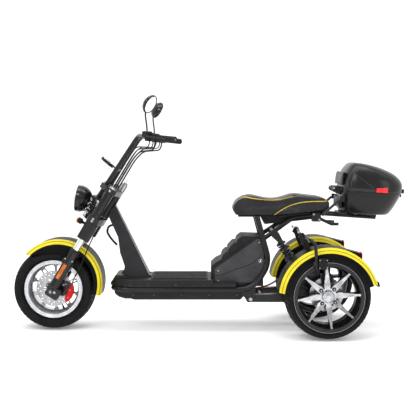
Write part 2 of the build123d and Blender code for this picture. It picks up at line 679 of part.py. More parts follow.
def mirrors():
    """Round mirrors on stalks from the control clamps."""
    base = (bar_frame(GRIP_LENGTH + 58).location * Pos(0, -26, 31 + 3 * SEAT_GAP)).position
    turn, tip = radians(MIRROR_TURN), radians(MIRROR_TIP)
    looks = (-cos(turn) * cos(tip), sin(turn) * cos(tip), -sin(tip))
    face = Plane(origin=MIRROR_CENTRE, x_dir=(-sin(turn), -cos(turn), 0), z_dir=looks)
    r = MIRROR_D / 2
    neck = (face.location * Pos(0, -0.8 * r, -14)).position
    stalk = tube([tuple(base), (base.X + 3, base.Y + 2, base.Z + 40), tuple(neck + Vector(2, -2, -26)), tuple(neck)],
                 [40, 30], 9)
    head = revolve(make_face(Curve() + [
        Line((0, 0), (r - 3, 0)), Line((r - 3, 0), (r, -3)), Line((r, -3), (r, -8)),
        ThreePointArc((r, -8), (r * 0.72, -26), (3, -MIRROR_DEPTH)), Line((3, -MIRROR_DEPTH), (0, -MIRROR_DEPTH)),
        Line((0, -MIRROR_DEPTH), (0, 0)),
    ]), Axis.Y)
    head = Rot(90, 0, 0) * head
    head = face.location * head
    keep("mirrors", both_sides(stalk + head))


def dash_display():
    """Round dial on a thin stalk ahead of the risers."""
    tilt = radians(41)
    face = Plane(origin=(594, 0, 975), x_dir=(cos(tilt), 0, sin(tilt)), z_dir=(-sin(tilt), 0, cos(tilt)))
    body = extrude(Circle(DASH_D / 2), amount=DASH_THICK / 2, both=True)
    body = fillet(body.edges().group_by(Axis.Z)[-1], 4)
    place = face.location * body
    brace_at = (FORK.location * Pos(RISER_FORWARD - 12, 0, UPPER_CLAMP + 130)).position
    stalk_low = (brace_at.X + 8 + SEAT_GAP + 2, 0, brace_at.Z + 2)
    stalk = tube([stalk_low, (stalk_low[0] + 22, 0, stalk_low[2] + 22), (598, 0, 968)], [18], 9)
    keep("dash_display", place + stalk)


def ignition_lock():
    """Key switch on top of the upper clamp."""
    at = Pos(-FORK_OFFSET - 12, 0, UPPER_CLAMP + UPPER_CLAMP_THICK + SEAT_GAP)
    body = Cylinder(19, 46, align=(Align.CENTER, Align.CENTER, Align.MIN))
    body += Pos(0, 0, 46) * Cylinder(13, 10, align=(Align.CENTER, Align.CENTER, Align.MIN))
    body += Pos(0, 0, 56) * Box(3, 14, 24, align=(Align.CENTER, Align.CENTER, Align.MIN))
    keep("ignition_lock", on_fork(at * body))


def on_clamp(n, y, s):
    """A point in the machine's frame from fork coordinates: ahead of the legs, across, along them."""
    return (FORK.location * Pos(n, y, s)).position


def control_cables():
    """Three cables from each bar's controls down to the upper clamp, and the brake hose to the caliper."""
    clamp_top = UPPER_CLAMP + UPPER_CLAMP_THICK + SEAT_GAP
    knee = Vector(BAR_KNEE)
    runs = (  # start on the bar, drop below it, bend under the bar, place on the clamp
        (CABLE_DS[0], (-GRIP_LENGTH - 18, 0, -22 - SEAT_GAP), 44, (-8, 46, -92), (-12, 99)),
        (CABLE_DS[1], (-GRIP_LENGTH - 34, 0, -22 - SEAT_GAP), 33, (3, 51, -78), (0, 104)),
        (CABLE_DS[2], (-GRIP_LENGTH - 58, -4, -21 - SEAT_GAP), 33, (15, 44, -64), (12, 100)),
    )
    cables = []
    for size, start, drop, bend, (n, y) in runs:
        leave = bar_frame(0).location * Pos(*start)
        turn = leave * Pos(0, 0, -drop)
        path = [leave.position, turn.position, knee + Vector(*bend), on_clamp(n, y, UPPER_CLAMP + 225),
                on_clamp(n, y, clamp_top)]
        run = tube([tuple(p) for p in path], [5 * size, 100, 112], size)
        cables += [run, mirror(run, Plane.XZ)]
    hose_y = FORK_HALF - SLIDER_D / 2 + 8
    axle = Vector(FRONT_AXLE_X, 0, FRONT_TYRE_R)
    a = radians(CALIPER_ANGLE)
    lift = Vector(sin(a), 0, -cos(a))
    seat = axle + Vector(CALIPER_R * cos(a), FRONT_DISC_Y + 10, CALIPER_R * sin(a))
    seat += lift * (CALIPER_LONG / 2 + SEAT_GAP)
    down = [on_clamp(-38, hose_y - 20, LOWER_CLAMP - SEAT_GAP), on_clamp(-44, hose_y - 16, 400),
            axle + Vector(-205, hose_y, 236), axle + Vector(-165, hose_y, 138),
            axle + Vector(-141, hose_y, 94), seat + lift * 40, seat]
    cables.append(cable(down, HOSE_D))
    keep("control_cables", Part() + cables)


def fork_reflectors():
    """Long amber reflectors on the outer faces of the lower legs."""
    slab = Pos(6, FORK_HALF + SLIDER_D / 2 - 2, 132) * Box(24, 14, 98)
    slab = fillet(slab.edges().filter_by(Axis.Y), 6)
    leg = Pos(0, FORK_HALF, 132) * Cylinder(SLIDER_D / 2 + SEAT_GAP, 120)
    keep("fork_reflectors", on_fork(both_sides(slab - leg)))


def make_steering():
    fork_sliders()
    fork_stanchions()
    fork_clamps()
    fork_covers()
    front_axle()
    front_caliper()
    front_fender()
    headlight()
    headlight_bracket()
    turn_signals()
    handlebar()
    grips()
    bar_controls()
    mirrors()
    dash_display()
    ignition_lock()
    control_cables()
    fork_reflectors()


# ---------------------------------------------------------------- main frame
def down_tube():
    """Deep down tube between the head and its foot, from its side and front outlines."""
    top = DECK_TOP - MAT_THICK + SEAT_GAP
    side = make_face(Polyline(
        (590, 664), (572, 622), (533, 537), (521, 445), (503, 394), (494, 366), (502, 328), (506, top),
        (346, top), (548, 722), (540, 738), (572, 700), close=True))
    front = make_face(Polyline(
        (-27, 760), (27, 760), (46, 420), (58, top), (-58, top), (-46, 420), close=True))
    slab = Pos(300, 0, 0) * extrude(Plane.YZ * front, amount=400)
    return extrude(Plane.XZ * side, amount=90, both=True) & slab


def main_frame():
    """Head tube and deep down tube that flares into the foot on the deck."""
    start = LOWER_CLAMP + LOWER_CLAMP_THICK + 0.5
    length = UPPER_CLAMP - 0.5 - start
    head = on_fork(Pos(-FORK_OFFSET, 0, start) * Cylinder(HEAD_TUBE_D / 2, length, align=(
        Align.CENTER, Align.CENTER, Align.MIN)))
    flange = Pos((FOOT_REAR + FOOT_FRONT) / 2, 0, DECK_TOP - MAT_THICK + SEAT_GAP) * extrude(
        RectangleRounded(FOOT_FRONT - FOOT_REAR, FOOT_WIDTH, 22), amount=9)
    body = head + down_tube() + flange
    body -= on_fork(Pos(-FORK_OFFSET, 0, start - 5) * Cylinder(STEM_R + RUN_FIT, length + 10, align=(
        Align.CENTER, Align.CENTER, Align.MIN)))
    keep("main_frame", body)


def wiring_loom():
    """Sheathed loom that bows out ahead of the down tube, both its ends on the tube's front."""
    route = [(562, 8, 607), (590, 9, 600), (602, 10, 566), (576, 10, 524), (542, 8, 488)]
    loom = cable(route, LOOM_D)
    keep("wiring_loom", loom - Pos(SEAT_GAP, 0, 0) * down_tube())


def frame_rail_tube(extra=0.0):
    """The bent side tube: from under the seat, behind the case, along the deck and across the nose."""
    left = [
        (-270, RAIL_TOP_HALF, 680), (-346, RAIL_HALF - 4, 400), (-252, RAIL_HALF, RAIL_Z),
        (RAIL_CORNER, RAIL_HALF, RAIL_Z), (RAIL_FRONT, 70, RAIL_Z),
    ]
    right = [(x, -y, z) for x, y, z in reversed(left)]
    body = tube(left + right, [150, 150, 70, 40, 40, 70, 150, 150], RAIL_D + 2 * extra)
    return body - Pos(-270, 0, SEAT_BASE - SEAT_GAP + 50) * Box(200, 400, 100)


def frame_rails():
    """Side tubes in one bend, a cross tube behind the case and the swingarm's pivot brackets."""
    body = frame_rail_tube()
    body += rod((-331, -RAIL_HALF + 8, 380), (-331, RAIL_HALF - 8, 380), 26)
    bracket = make_face(FilletPolyline(
        (-170, RAIL_Z), (-262, RAIL_Z + 8), (PIVOT[0] - 20, PIVOT[1] - 14), (PIVOT[0] + 14, PIVOT[1] - 20),
        radius=8, close=True))
    for side in (1, -1):
        y = side * (RAIL_HALF - 4)
        body += side_body(bracket, y, 8) - across(BOLT_R + SEAT_GAP, y - 10, y + 10, *PIVOT)
    keep("frame_rails", body)


def battery_tray():
    """Deep tray between the rails with a rounded nose."""
    outline = FilletPolyline(
        (TRAY_REAR, TRAY_TOP), (TRAY_REAR, TRAY_BOTTOM + 22), (TRAY_REAR + 22, TRAY_BOTTOM),
        (440, TRAY_BOTTOM), (RAIL_CORNER - 22, 222), (RAIL_CORNER - 22, TRAY_TOP), radius=[1, 12, 12, 40, 12, 1],
        close=True)
    half = RAIL_HALF - RAIL_D / 2 - SEAT_GAP
    keep("battery_tray", side_body(make_face(outline), 0, 2 * half) - frame_rail_tube(SEAT_GAP))


def deck_nose():
    """Raised collar that closes the deck's front round the frame's foot."""
    low = RAIL_Z + RAIL_D / 2 + SEAT_GAP
    side = make_face(FilletPolyline(
        (FOOT_REAR + 110, low), (FOOT_REAR + 110, DECK_TOP - MAT_THICK - 4), (500, NOSE_TOP), (544, NOSE_TOP - 4),
        (NOSE_TIP, 274), (NOSE_TIP, low), radius=[1, 12, 16, 10, 10, 1], close=True))
    plan = make_face(FilletPolyline(
        (FOOT_REAR + 100, -118), (520, -112), (NOSE_TIP + 1, -76), (NOSE_TIP + 1, 76), (520, 112),
        (FOOT_REAR + 100, 118), radius=[10, 60, 40, 40, 60, 10], close=True))
    return side_body(side, 0, 240) & Pos(0, 0, low) * extrude(plan, amount=80)


def deck():
    """Floorboard with deep sides and a raised nose round the frame's foot, and its mat."""
    low = RAIL_Z + RAIL_D / 2 + SEAT_GAP
    inside = RAIL_HALF - RAIL_D / 2 - 8
    plan = make_face(FilletPolyline(
        (DECK_REAR, -inside), (DECK_NARROW, -inside), (DECK_NARROW, -DECK_HALF), (470, -DECK_HALF),
        (DECK_NOSE, -96), (DECK_NOSE, 96), (470, DECK_HALF), (DECK_NARROW, DECK_HALF), (DECK_NARROW, inside),
        (DECK_REAR, inside), radius=[8, 8, 16, 60, 60, 60, 60, 16, 8, 8], close=True))
    top = DECK_TOP - MAT_THICK
    board = Pos(0, 0, low) * extrude(plan, amount=top - low)
    board = fillet(board.edges().group_by(Axis.Z)[-1], DECK_EDGE)
    ledge = Box(400, 100, 40, align=(Align.MAX, Align.MIN, Align.MIN))
    for side in (1, -1):
        step = Pos(CASE_FRONT, CASE_HALF, top - CASE_STEP) * ledge
        board -= step if side > 0 else mirror(step, Plane.XZ)
    foot = Pos((FOOT_REAR + FOOT_FRONT) / 2, 0, top + 50) * Box(
        FOOT_FRONT - FOOT_REAR + 2 * SEAT_GAP, FOOT_WIDTH + 2 * SEAT_GAP, 100)
    keep("deck_plate", board + (deck_nose() - foot))
    mat = Pos(0, 0, top) * extrude(Pos(172, 0) * RectangleRounded(330, 2 * DECK_HALF - 44, 18), amount=MAT_THICK)
    keep("deck_mat", mat)


def case_side():
    """Side outline of the battery case."""
    low = DECK_TOP - MAT_THICK + SEAT_GAP
    return [(CASE_FRONT, low), (CASE_FRONT, 371), (-30, 377), (-264, 542), (-302, 542), (-314, 470),
            (-314, 380), (-300, low)]


def battery_case():
    """Battery and storage case under the seat, hollow, fitted between the bent side tubes."""
    side = make_face(Polyline(*case_side(), close=True))
    outer = side_body(side, 0, 2 * CASE_HALF) - frame_rail_tube(2 * SEAT_GAP)
    inner = side_body(offset(side, -CASE_WALL), 0, 2 * (CASE_HALF - CASE_WALL))
    keep("battery_case", outer - (inner - frame_rail_tube(2 * SEAT_GAP + CASE_WALL)))


def case_panels():
    """Raised side panels in two halves, parted along a curved line, with a round lock on the lower one."""
    low = DECK_TOP - MAT_THICK - CASE_STEP + SEAT_GAP
    split = Spline((-34, 322), (-64, 325), (-152, 359), (-226, 382), (-293, 433), (-330, 476))
    outline = make_face(FilletPolyline(
        (-32, low), (-32, 364), (-275, 535), (-302, 535), (-314, 470), (-314, 380), (-296, low),
        radius=[4, 14, 6, 4, 20, 60, 8], close=True))
    above = make_face(Curve() + [split, Polyline((-330, 476), (-330, 560), (-20, 560), (-20, 322), (-34, 322))])
    below = make_face(Curve() + [split, Polyline((-330, 476), (-330, 250), (-20, 250), (-20, 322), (-34, 322))])
    above = Pos(0, PANEL_SPLIT) * above
    panels = Part()
    for half in (outline & above, outline & below):
        panels += side_body(half, CASE_HALF + SEAT_GAP + PANEL_PROUD / 2, PANEL_PROUD)
    lock = across(11, CASE_HALF + SEAT_GAP, CASE_HALF + SEAT_GAP + 2 * PANEL_PROUD, -294, 410)
    lock -= across(5, CASE_HALF + 2 * PANEL_PROUD - 1, CASE_HALF + 3 * PANEL_PROUD, -294, 410)
    keep("case_panels", both_sides(panels + lock - frame_rail_tube(1.0)))


def case_cover():
    """Black cover with rounded steps that climbs the front of the case."""
    low = DECK_TOP - MAT_THICK + SEAT_GAP
    gap = SEAT_GAP * 1.3
    steps = FilletPolyline(
        (-10, low), (-10, 376), (-38, 402), (-68, 416), (-78, 444), (-98, 464), (-106, 460), (-110, 480),
        (-142, 513), (-156, 510), (-162, 532), (-186, 552), (-289, 549),
        radius=[16, 10, 5, 8, 10, 3, 8, 14, 3, 8, 16])
    under = Polyline(
        (-289, 549), (-289, 542 + SEAT_GAP), (-264, 542 + SEAT_GAP), (-30 + SEAT_GAP, 377 + gap),
        (CASE_FRONT + SEAT_GAP, 371 + gap), (CASE_FRONT + SEAT_GAP, low), (-10, low))
    cover = side_body(make_face(Curve() + [steps, under]), 0, 2 * CASE_HALF - 14)
    keep("case_cover", cover - frame_rail_tube(2 * SEAT_GAP))


def motor_cable():
    """Power cable from the battery tray back to the motor."""
    y = MOTOR_HALF - 44
    end_x = REAR_AXLE_X + GEARCASE_R + SEAT_GAP
    route = [(TRAY_REAR - SEAT_GAP, y, 232), (-262, y, 231), (-345, y, 252), (-410, y, 292), (end_x + 110, y, 294),
             (end_x + 50, y, REAR_TYRE_R), (end_x, y, REAR_TYRE_R)]
    keep("motor_cable", cable(route, MOTOR_CABLE_D))


def seat_base(x):
    """Height of the saddle's underside, which climbs towards the rear."""
    return SEAT_BASE + max(0.0, -400 - x) * SEAT_CLIMB


def seat_and_pan():
    """Long dual saddle on a moulded pan."""
    top = Spline((-128, 700), (-160, 762), (-215, 783), (-300, 770), (-375, 762), (-430, 772), (-480, 788),
                 (-560, 782), (-660, 768), (-698, 752))
    outline = Curve() + [
        top, Line((-698, 752), (-690, seat_base(-690))), Line((-690, seat_base(-690)), (-400, SEAT_BASE)),
        Line((-400, SEAT_BASE), (-150, SEAT_BASE)), Line((-150, SEAT_BASE), (-128, 700)),
    ]
    plan = make_face(FilletPolyline(
        (-126, -88), (-150, -118), (-420, -128), (-500, -150), (-690, -138), (-702, -118),
        (-702, 118), (-690, 138), (-500, 150), (-420, 128), (-150, 118), (-126, 88), radius=14, close=True))
    body = side_body(make_face(outline), 0, SEAT_WIDTH + 20) & (Pos(0, 0, 600) * extrude(plan, amount=300))
    keep("seat", body)
    flange_side = make_face(Polyline(
        (-170, SEAT_BASE - SEAT_GAP), (-400, SEAT_BASE - SEAT_GAP), (-684, seat_base(-684) - SEAT_GAP),
        (-684, seat_base(-684) - SEAT_GAP - PAN_THICK), (-400, SEAT_BASE - SEAT_GAP - PAN_THICK),
        (-170, SEAT_BASE - SEAT_GAP - PAN_THICK), close=True))
    belly_side = make_face(Polyline(
        (-300, 660), (-322, 616), (-458, 629), (-590, 645), (-616, 686), (-400, 662), close=True))
    pan = side_body(flange_side, 0, 2 * PAN_BELLY_HALF + 4) + side_body(belly_side, 0, 2 * PAN_BELLY_HALF)
    wings = side_body(flange_side, 0, 2 * (SEAT_TUBE_HALF + 14)) & Pos(-490, 0, 680) * Box(180, 400, 120)
    keep("seat_pan", pan + wings)


# ---------------------------------------------------------------- rear frame, axle and rack
def seat_tube_points():
    """Left diagonal tube: from the bent rail up under the seat and back to the rack clamp."""
    drop = SEAT_GAP + PAN_THICK + SEAT_GAP + SEAT_TUBE_D / 2
    return [
        (-312, 126, 537), (-482, SEAT_TUBE_HALF, seat_base(-482) - drop),
        (CLAMP_X, SEAT_TUBE_HALF, seat_base(CLAMP_X) - drop),
    ]


def seat_frame():
    """Diagonal tubes with a cross tube and the clevis plates of the upper shock mounts."""
    left = tube(seat_tube_points(), [70], SEAT_TUBE_D)
    body = left + mirror(left, Plane.XZ)
    body += rod((-372, -SHOCK_HALF - 18, 571), (-372, SHOCK_HALF + 18, 571), 24)
    plate = make_face(FilletPolyline(
        (-350, 570), (-368, 588), (-398, 574), (SHOCK_TOP[0] - 17, SHOCK_TOP[1] - 4), (SHOCK_TOP[0] + 6, SHOCK_TOP[1] - 18),
        (-360, 548), radius=6, close=True))
    for side in (1, -1):
        for inner in (-1, 1):
            y = side * (SHOCK_HALF + inner * (SHOCK_EYE / 2 + 3 + SEAT_GAP))
            clevis = side_body(plate, y, 6)
            body += clevis - across(BOLT_R + SEAT_GAP, y - 10, y + 10, *SHOCK_TOP)
    bent = frame_rail_tube()
    keep("seat_frame", body - bent)


def swingarm():
    """Box-section arms, axle tube, stub axles, shock lugs and caliper plates."""
    arm_side = make_face(FilletPolyline(
        (PIVOT[0] + 24, PIVOT[1] - 20), (PIVOT[0] + 24, PIVOT[1] + 20), (REAR_AXLE_X + 186, 222), (REAR_AXLE_X + 96, 262),
        (REAR_AXLE_X + 16, 280), (REAR_AXLE_X - 34, 262), (REAR_AXLE_X - 34, 212), (REAR_AXLE_X + 56, 196),
        (REAR_AXLE_X + 196, 171), radius=12, close=True))
    arm = side_body(arm_side, ARM_HALF, ARM_WIDTH)
    arm -= across(BOLT_R + SEAT_GAP, ARM_HALF - 40, ARM_HALF + 40, *PIVOT)
    body = arm + mirror(arm, Plane.XZ)
    body += across(AXLE_TUBE_D / 2, -AXLE_TUBE_HALF, AXLE_TUBE_HALF, REAR_AXLE_X, REAR_TYRE_R)
    body += rod((-300, -ARM_HALF, 192), (-300, ARM_HALF, 192), 30)
    foot_x, foot_z = SHOCK_FOOT
    lug = make_face(FilletPolyline(
        (foot_x + 25, foot_z - 54), (foot_x + 17, foot_z + 6), (foot_x - 1, foot_z + 18),
        (foot_x - 17, foot_z + 6), (foot_x - 35, foot_z - 28), radius=5, close=True))
    caliper_plate = make_face(Polyline(
        (REAR_AXLE_X - 34, REAR_TYRE_R - 20), (REAR_AXLE_X - 30, REAR_TYRE_R + 112),
        (REAR_AXLE_X + 30, REAR_TYRE_R + 112), (REAR_AXLE_X + 34, REAR_TYRE_R - 20), close=True))
    hub_inner = REAR_Y - HUB_INNER
    for side in (1, -1):
        ends = sorted((side * (AXLE_TUBE_HALF - 4), side * (REAR_Y + 24)))
        body += across(STUB_R, *ends, REAR_AXLE_X, REAR_TYRE_R)
        body += side_body(caliper_plate, side * (hub_inner - MOVE_GAP - 4), 8)
        for inner in (-1, 1):
            y = side * (SHOCK_HALF + inner * (SHOCK_EYE / 2 + 3 + SEAT_GAP))
            ear = side_body(lug, y, 6)
            body += ear - across(BOLT_R + SEAT_GAP, y - 10, y + 10, *SHOCK_FOOT)
    keep("swingarm", body)


def pivot_bolt():
    """Long bolt that holds both arms between the frame's brackets."""
    half = RAIL_HALF + 2
    bolt = across(BOLT_R, -half - 6, half + 6, *PIVOT)
    for side in (1, -1):
        head = Plane(origin=(PIVOT[0], side * (half + SEAT_GAP), PIVOT[1]), z_dir=(0, side, 0)) * RegularPolygon(11, 6)
        bolt += extrude(head, amount=8)
    keep("swingarm_pivot", bolt)


def rear_motor():
    """Drive unit: motor and differential housing round the axle tube."""
    bore = AXLE_TUBE_D / 2 + SEAT_GAP
    left, right = MOTOR_HALF - 16, -MOTOR_HALF
    housing = turned([
        (bore, right), (48, right), (56, right + 8), (84, right + 16), (MOTOR_R, right + 24), (MOTOR_R, -10),
        (GEARCASE_R, 0), (GEARCASE_R, left - 18), (56, left - 10), (48, left), (bore, left)])
    for i in range(12):
        housing += Rot(0, i * 30, 0) * (Pos(MOTOR_R, right / 2 + 7, 0) * Box(8, MOTOR_HALF - 42, 4))
    keep("rear_motor", Pos(REAR_AXLE_X, 0, REAR_TYRE_R) * housing)


def shock_frame(side):
    """A frame at the shock's foot, z up along it."""
    foot = Vector(SHOCK_FOOT[0], side * SHOCK_HALF, SHOCK_FOOT[1])
    top = Vector(SHOCK_TOP[0], side * SHOCK_HALF, SHOCK_TOP[1])
    return Plane(origin=foot, x_dir=(0, 1, 0), z_dir=(top - foot).normalized())


def rear_shocks():
    """Coil-over shocks: damper, rod, spring seats, eyes with bolts, and a coil spring round each."""
    length = sqrt((SHOCK_TOP[0] - SHOCK_FOOT[0]) ** 2 + (SHOCK_TOP[1] - SHOCK_FOOT[1]) ** 2)
    profile = make_face(Polyline(
        (0, 8), (EYE_SHANK_R, 10), (EYE_SHANK_R, 30), (SPRING_D / 2 + 2, 34), (SPRING_D / 2 + 2, 42), (18, 42), (18, length * 0.62),
        (8, length * 0.62), (8, length - 62), (SPRING_D / 2 + 2, length - 62), (SPRING_D / 2 + 2, length - 54),
        (EYE_SHANK_R, length - 40), (EYE_SHANK_R, length - 10), (0, length - 8), close=True))
    damper = revolve(Plane.XZ * profile, Axis.Z)
    eye = Plane(origin=(-SHOCK_EYE / 2, 0, 0), z_dir=(1, 0, 0)) * Circle(14)
    bolt = Plane(origin=(-SHOCK_EYE / 2 - 12, 0, 0), z_dir=(1, 0, 0)) * Circle(BOLT_R)
    head = Plane(origin=(SHOCK_EYE / 2 + 6.0 + 2 * SEAT_GAP, 0, 0), z_dir=(1, 0, 0)) * RegularPolygon(12, 6)
    for z in (0, length):
        damper += Pos(0, 0, z) * (extrude(eye, amount=SHOCK_EYE) + extrude(bolt, amount=SHOCK_EYE + 24)
                                  + extrude(head, amount=8))
    coil_r = SPRING_D / 2 - SPRING_WIRE / 2
    coil_low, coil_high = 42 + SPRING_WIRE / 2 + SEAT_GAP, length - 62 - SPRING_WIRE / 2 - SEAT_GAP
    helix = Helix(pitch=(coil_high - coil_low) / SPRING_TURNS, height=coil_high - coil_low, radius=coil_r)
    wire = sweep(Plane(origin=helix @ 0, z_dir=helix % 0) * Circle(SPRING_WIRE / 2), path=helix, is_frenet=True)
    spring = Pos(0, 0, coil_low) * wire
    shocks, springs = [], []
    for side in (1, -1):
        frame = shock_frame(side).location
        turn = Rot(0, 0, 0 if side > 0 else 180)
        shocks.append(frame * turn * damper)
        springs.append(frame * spring)
    keep("rear_shocks", Part() + shocks)
    keep("shock_springs", Part() + springs)


def rear_calipers():
    """Calipers astride the rear discs, bolted to the swingarm's plates."""
    hub_inner = REAR_Y - HUB_INNER
    y0 = hub_inner - MOVE_GAP + SEAT_GAP
    body = Pos(REAR_AXLE_X, y0 + 23, REAR_TYRE_R + 92) * Box(64, 46, 50)
    body = fillet(body.edges().filter_by(Axis.Y), 12)
    disc_y = REAR_Y - 30
    body -= Pos(REAR_AXLE_X, disc_y, REAR_TYRE_R + 78) * Box(90, 4 + 2 * PAD_RUN, 44)
    keep("rear_calipers", both_sides(body))


def rear_fender():
    """Arched panel with deep side skirts and a stay down to the axle tube."""
    y_in, y_out, wall = REAR_FENDER_IN, REAR_FENDER_OUT, FENDER_WALL
    body = fender_panel(REAR_FENDER_R, REAR_INNER_SKIRT, REAR_SKIRT, y_in, y_out, 6, 164)
    body += arch(REAR_FENDER_R + 10, 13, 163, 168, y_in + FENDER_CORNER, y_out - FENDER_CORNER)
    stay = make_face(Polyline(
        (-26, 0), (-40, REAR_FENDER_R - REAR_INNER_SKIRT + 8), (40, REAR_FENDER_R - REAR_INNER_SKIRT + 8), (26, 0), (20, -22), (-20, -22), close=True))
    stay = side_body(stay, y_in + wall / 2, wall)
    stay -= across(STUB_R + SEAT_GAP, y_in - 5, y_in + 10)
    return Pos(REAR_AXLE_X, 0, REAR_TYRE_R) * (body + stay)


def rear_fenders():
    fender = rear_fender()
    keep("rear_fender_left", fender)
    keep("rear_fender_right", mirror(fender, Plane.XZ))


def tail_lamps():
    """Wedge lamps on the rear of each fender's crown."""
    front = REAR_AXLE_X - 96
    side = make_face(FilletPolyline(
        (front, 500), (front - 80, 480), (front - 88, 472), (front - 86, 430), (front, 466),
        radius=[3, 5, 5, 1, 1], close=True))
    lamp = side_body(side, TAIL_LAMP_Y, TAIL_LAMP_WIDTH)
    crown = Pos(REAR_AXLE_X, 0, REAR_TYRE_R) * across(REAR_FENDER_R + SEAT_GAP, 0, 600)
    keep("tail_lamps", both_sides(lamp - crown))


def rear_footrests():
    """Passenger footrests on tubes that reach out over the fenders from plates on their inner sides."""
    post_y, x, z = FOOTREST_Y, REAR_AXLE_X, REAR_TYRE_R
    plate_y = REAR_FENDER_IN - SEAT_GAP - 3
    plate = make_face(FilletPolyline(
        (x + 156, z + 345), (x + 144, z + 361), (x + 120, z + 357), (x + 90, z + 309), (x + 76, z + 231),
        (x + 100, z + 213), (x + 120, z + 261), (x + 132, z + 313), radius=5, close=True))
    body = side_body(plate, plate_y, 6)
    body += tube([(x + 112, plate_y, 556), (x + 112, post_y - 40, 556), (x + 84, post_y, 546), (x + 76, post_y, 400)],
                 [36, 24], 18)
    block = Pos(x + 43, post_y + 2, 432) * Box(46, 34, 56)
    block = fillet(block.edges().filter_by(Axis.Y), 6)
    for i in range(4):
        block -= Pos(x + 43, post_y + 20, 412 + i * 13) * Box(60, 5, 4)
    body += block + Pos(x + 66, post_y, 432) * Box(16, 12, 24)
    body += rod((x + 66, post_y + 6, 404), (x + 66, post_y + 6, 376), 6)
    keep("rear_footrests", both_sides(body))


def on_box(part):
    """Moves a piece from the top box's own frame, whose floor leans back a little."""
    return BOX.location * part


def rear_rack():
    """Tube rack under the top box, with the clamps that join it to the frame and its front struts."""
    z = -RACK_TUBE_D / 2 - RACK_DROP
    bars = []
    for side in (1, -1):
        y = side * RACK_HALF
        bars.append(rod((128, y, z), (-222, y, z), RACK_TUBE_D))
        strut_y = side * RACK_STRUT_HALF
        bars.append(rod((92, strut_y, z), (BOX_FRONT + 14, strut_y, 74), RACK_TUBE_D - 3))
        bars.append(Pos(-10, strut_y, 78) * Box(28, 16, 30))
    for x, half in ((92, RACK_STRUT_HALF + 4), (-30, RACK_HALF), (-125, RACK_HALF), (-213, RACK_HALF)):
        bars.append(rod((x, -half, z), (x, half, z), RACK_TUBE_D - 4))
    for x in (-30, -205):
        bars.append(Pos(x, 0, -(RACK_DROP + SEAT_GAP) / 2 - 2) * Box(36, 2 * RACK_HALF + 30, RACK_DROP + 4 - SEAT_GAP))
    rack = on_box(Part() + bars)
    hook = make_face(Polyline(
        (-636, 660), (-700, 628), (-748, 626), (-748, 610), (-704, 610), (-636, 642), close=True))
    hole = rod((CLAMP_X - 0.3, SEAT_TUBE_HALF, seat_tube_points()[-1][2]),
               (CLAMP_X + 60, SEAT_TUBE_HALF, seat_tube_points()[-1][2] - 60 * SEAT_CLIMB),
               SEAT_TUBE_D + 2 * SEAT_GAP)
    for side in (1, -1):
        block = Pos(CLAMP_X - 5, side * (RACK_HALF + 3), 660) * Box(52, 36, 52)
        rack += fillet(block.edges().filter_by(Axis.Y), 6)
        rack += side_body(hook, side * RACK_HALF, 10)
    keep("rear_rack", rack - hole - mirror(hole, Plane.XZ) - on_box(box_solid(-SEAT_GAP)))


def box_outlines():
    """Side, plan and front outlines of the top box in its own frame."""
    side = make_face(FilletPolyline(
        (-24, 0), (BOX_FRONT - 3, 50), (BOX_FRONT, 150), (-22, 228), (-58, 288), (-112, 290), (-212, 272),
        (-330, 232), (BOX_REAR, 172), (BOX_REAR + 2, 130), (-290, 0),
        radius=[16, 60, 80, 60, 24, 80, 80, 60, 40, 60, 16], close=True))
    half = BOX_WIDTH / 2
    plan = make_face(FilletPolyline(
        (BOX_FRONT, -60), (-24, -half + 40), (-66, -half), (-230, -half), (-322, -130), (BOX_REAR, -60),
        (BOX_REAR, 60), (-322, 130), (-230, half), (-66, half), (-24, half - 40), (BOX_FRONT, 60),
        radius=[80, 30, 60, 90, 60, 50, 50, 60, 90, 60, 30, 80], close=True))
    front = make_face(FilletPolyline(
        (-half + 38, 0), (-half + 2, 100), (-half, 150), (-half + 44, 292), (half - 44, 292), (half, 150),
        (half - 2, 100), (half - 38, 0), radius=[26, 60, 60, 60, 60, 60, 60, 26], close=True))
    return side, plan, front


def box_solid(inset):
    """The box's closed form, or the same form drawn in by the wall."""
    side, plan, front = box_outlines()
    if inset:
        side, plan, front = (offset(face, -inset) for face in (side, plan, front))
    body = extrude(Plane.XZ * side, amount=BOX_WIDTH, both=True)
    body &= Pos(0, 0, -10) * extrude(plan, amount=400)
    body &= Pos(-450, 0, 0) * extrude(Plane.YZ * front, amount=600)
    return body


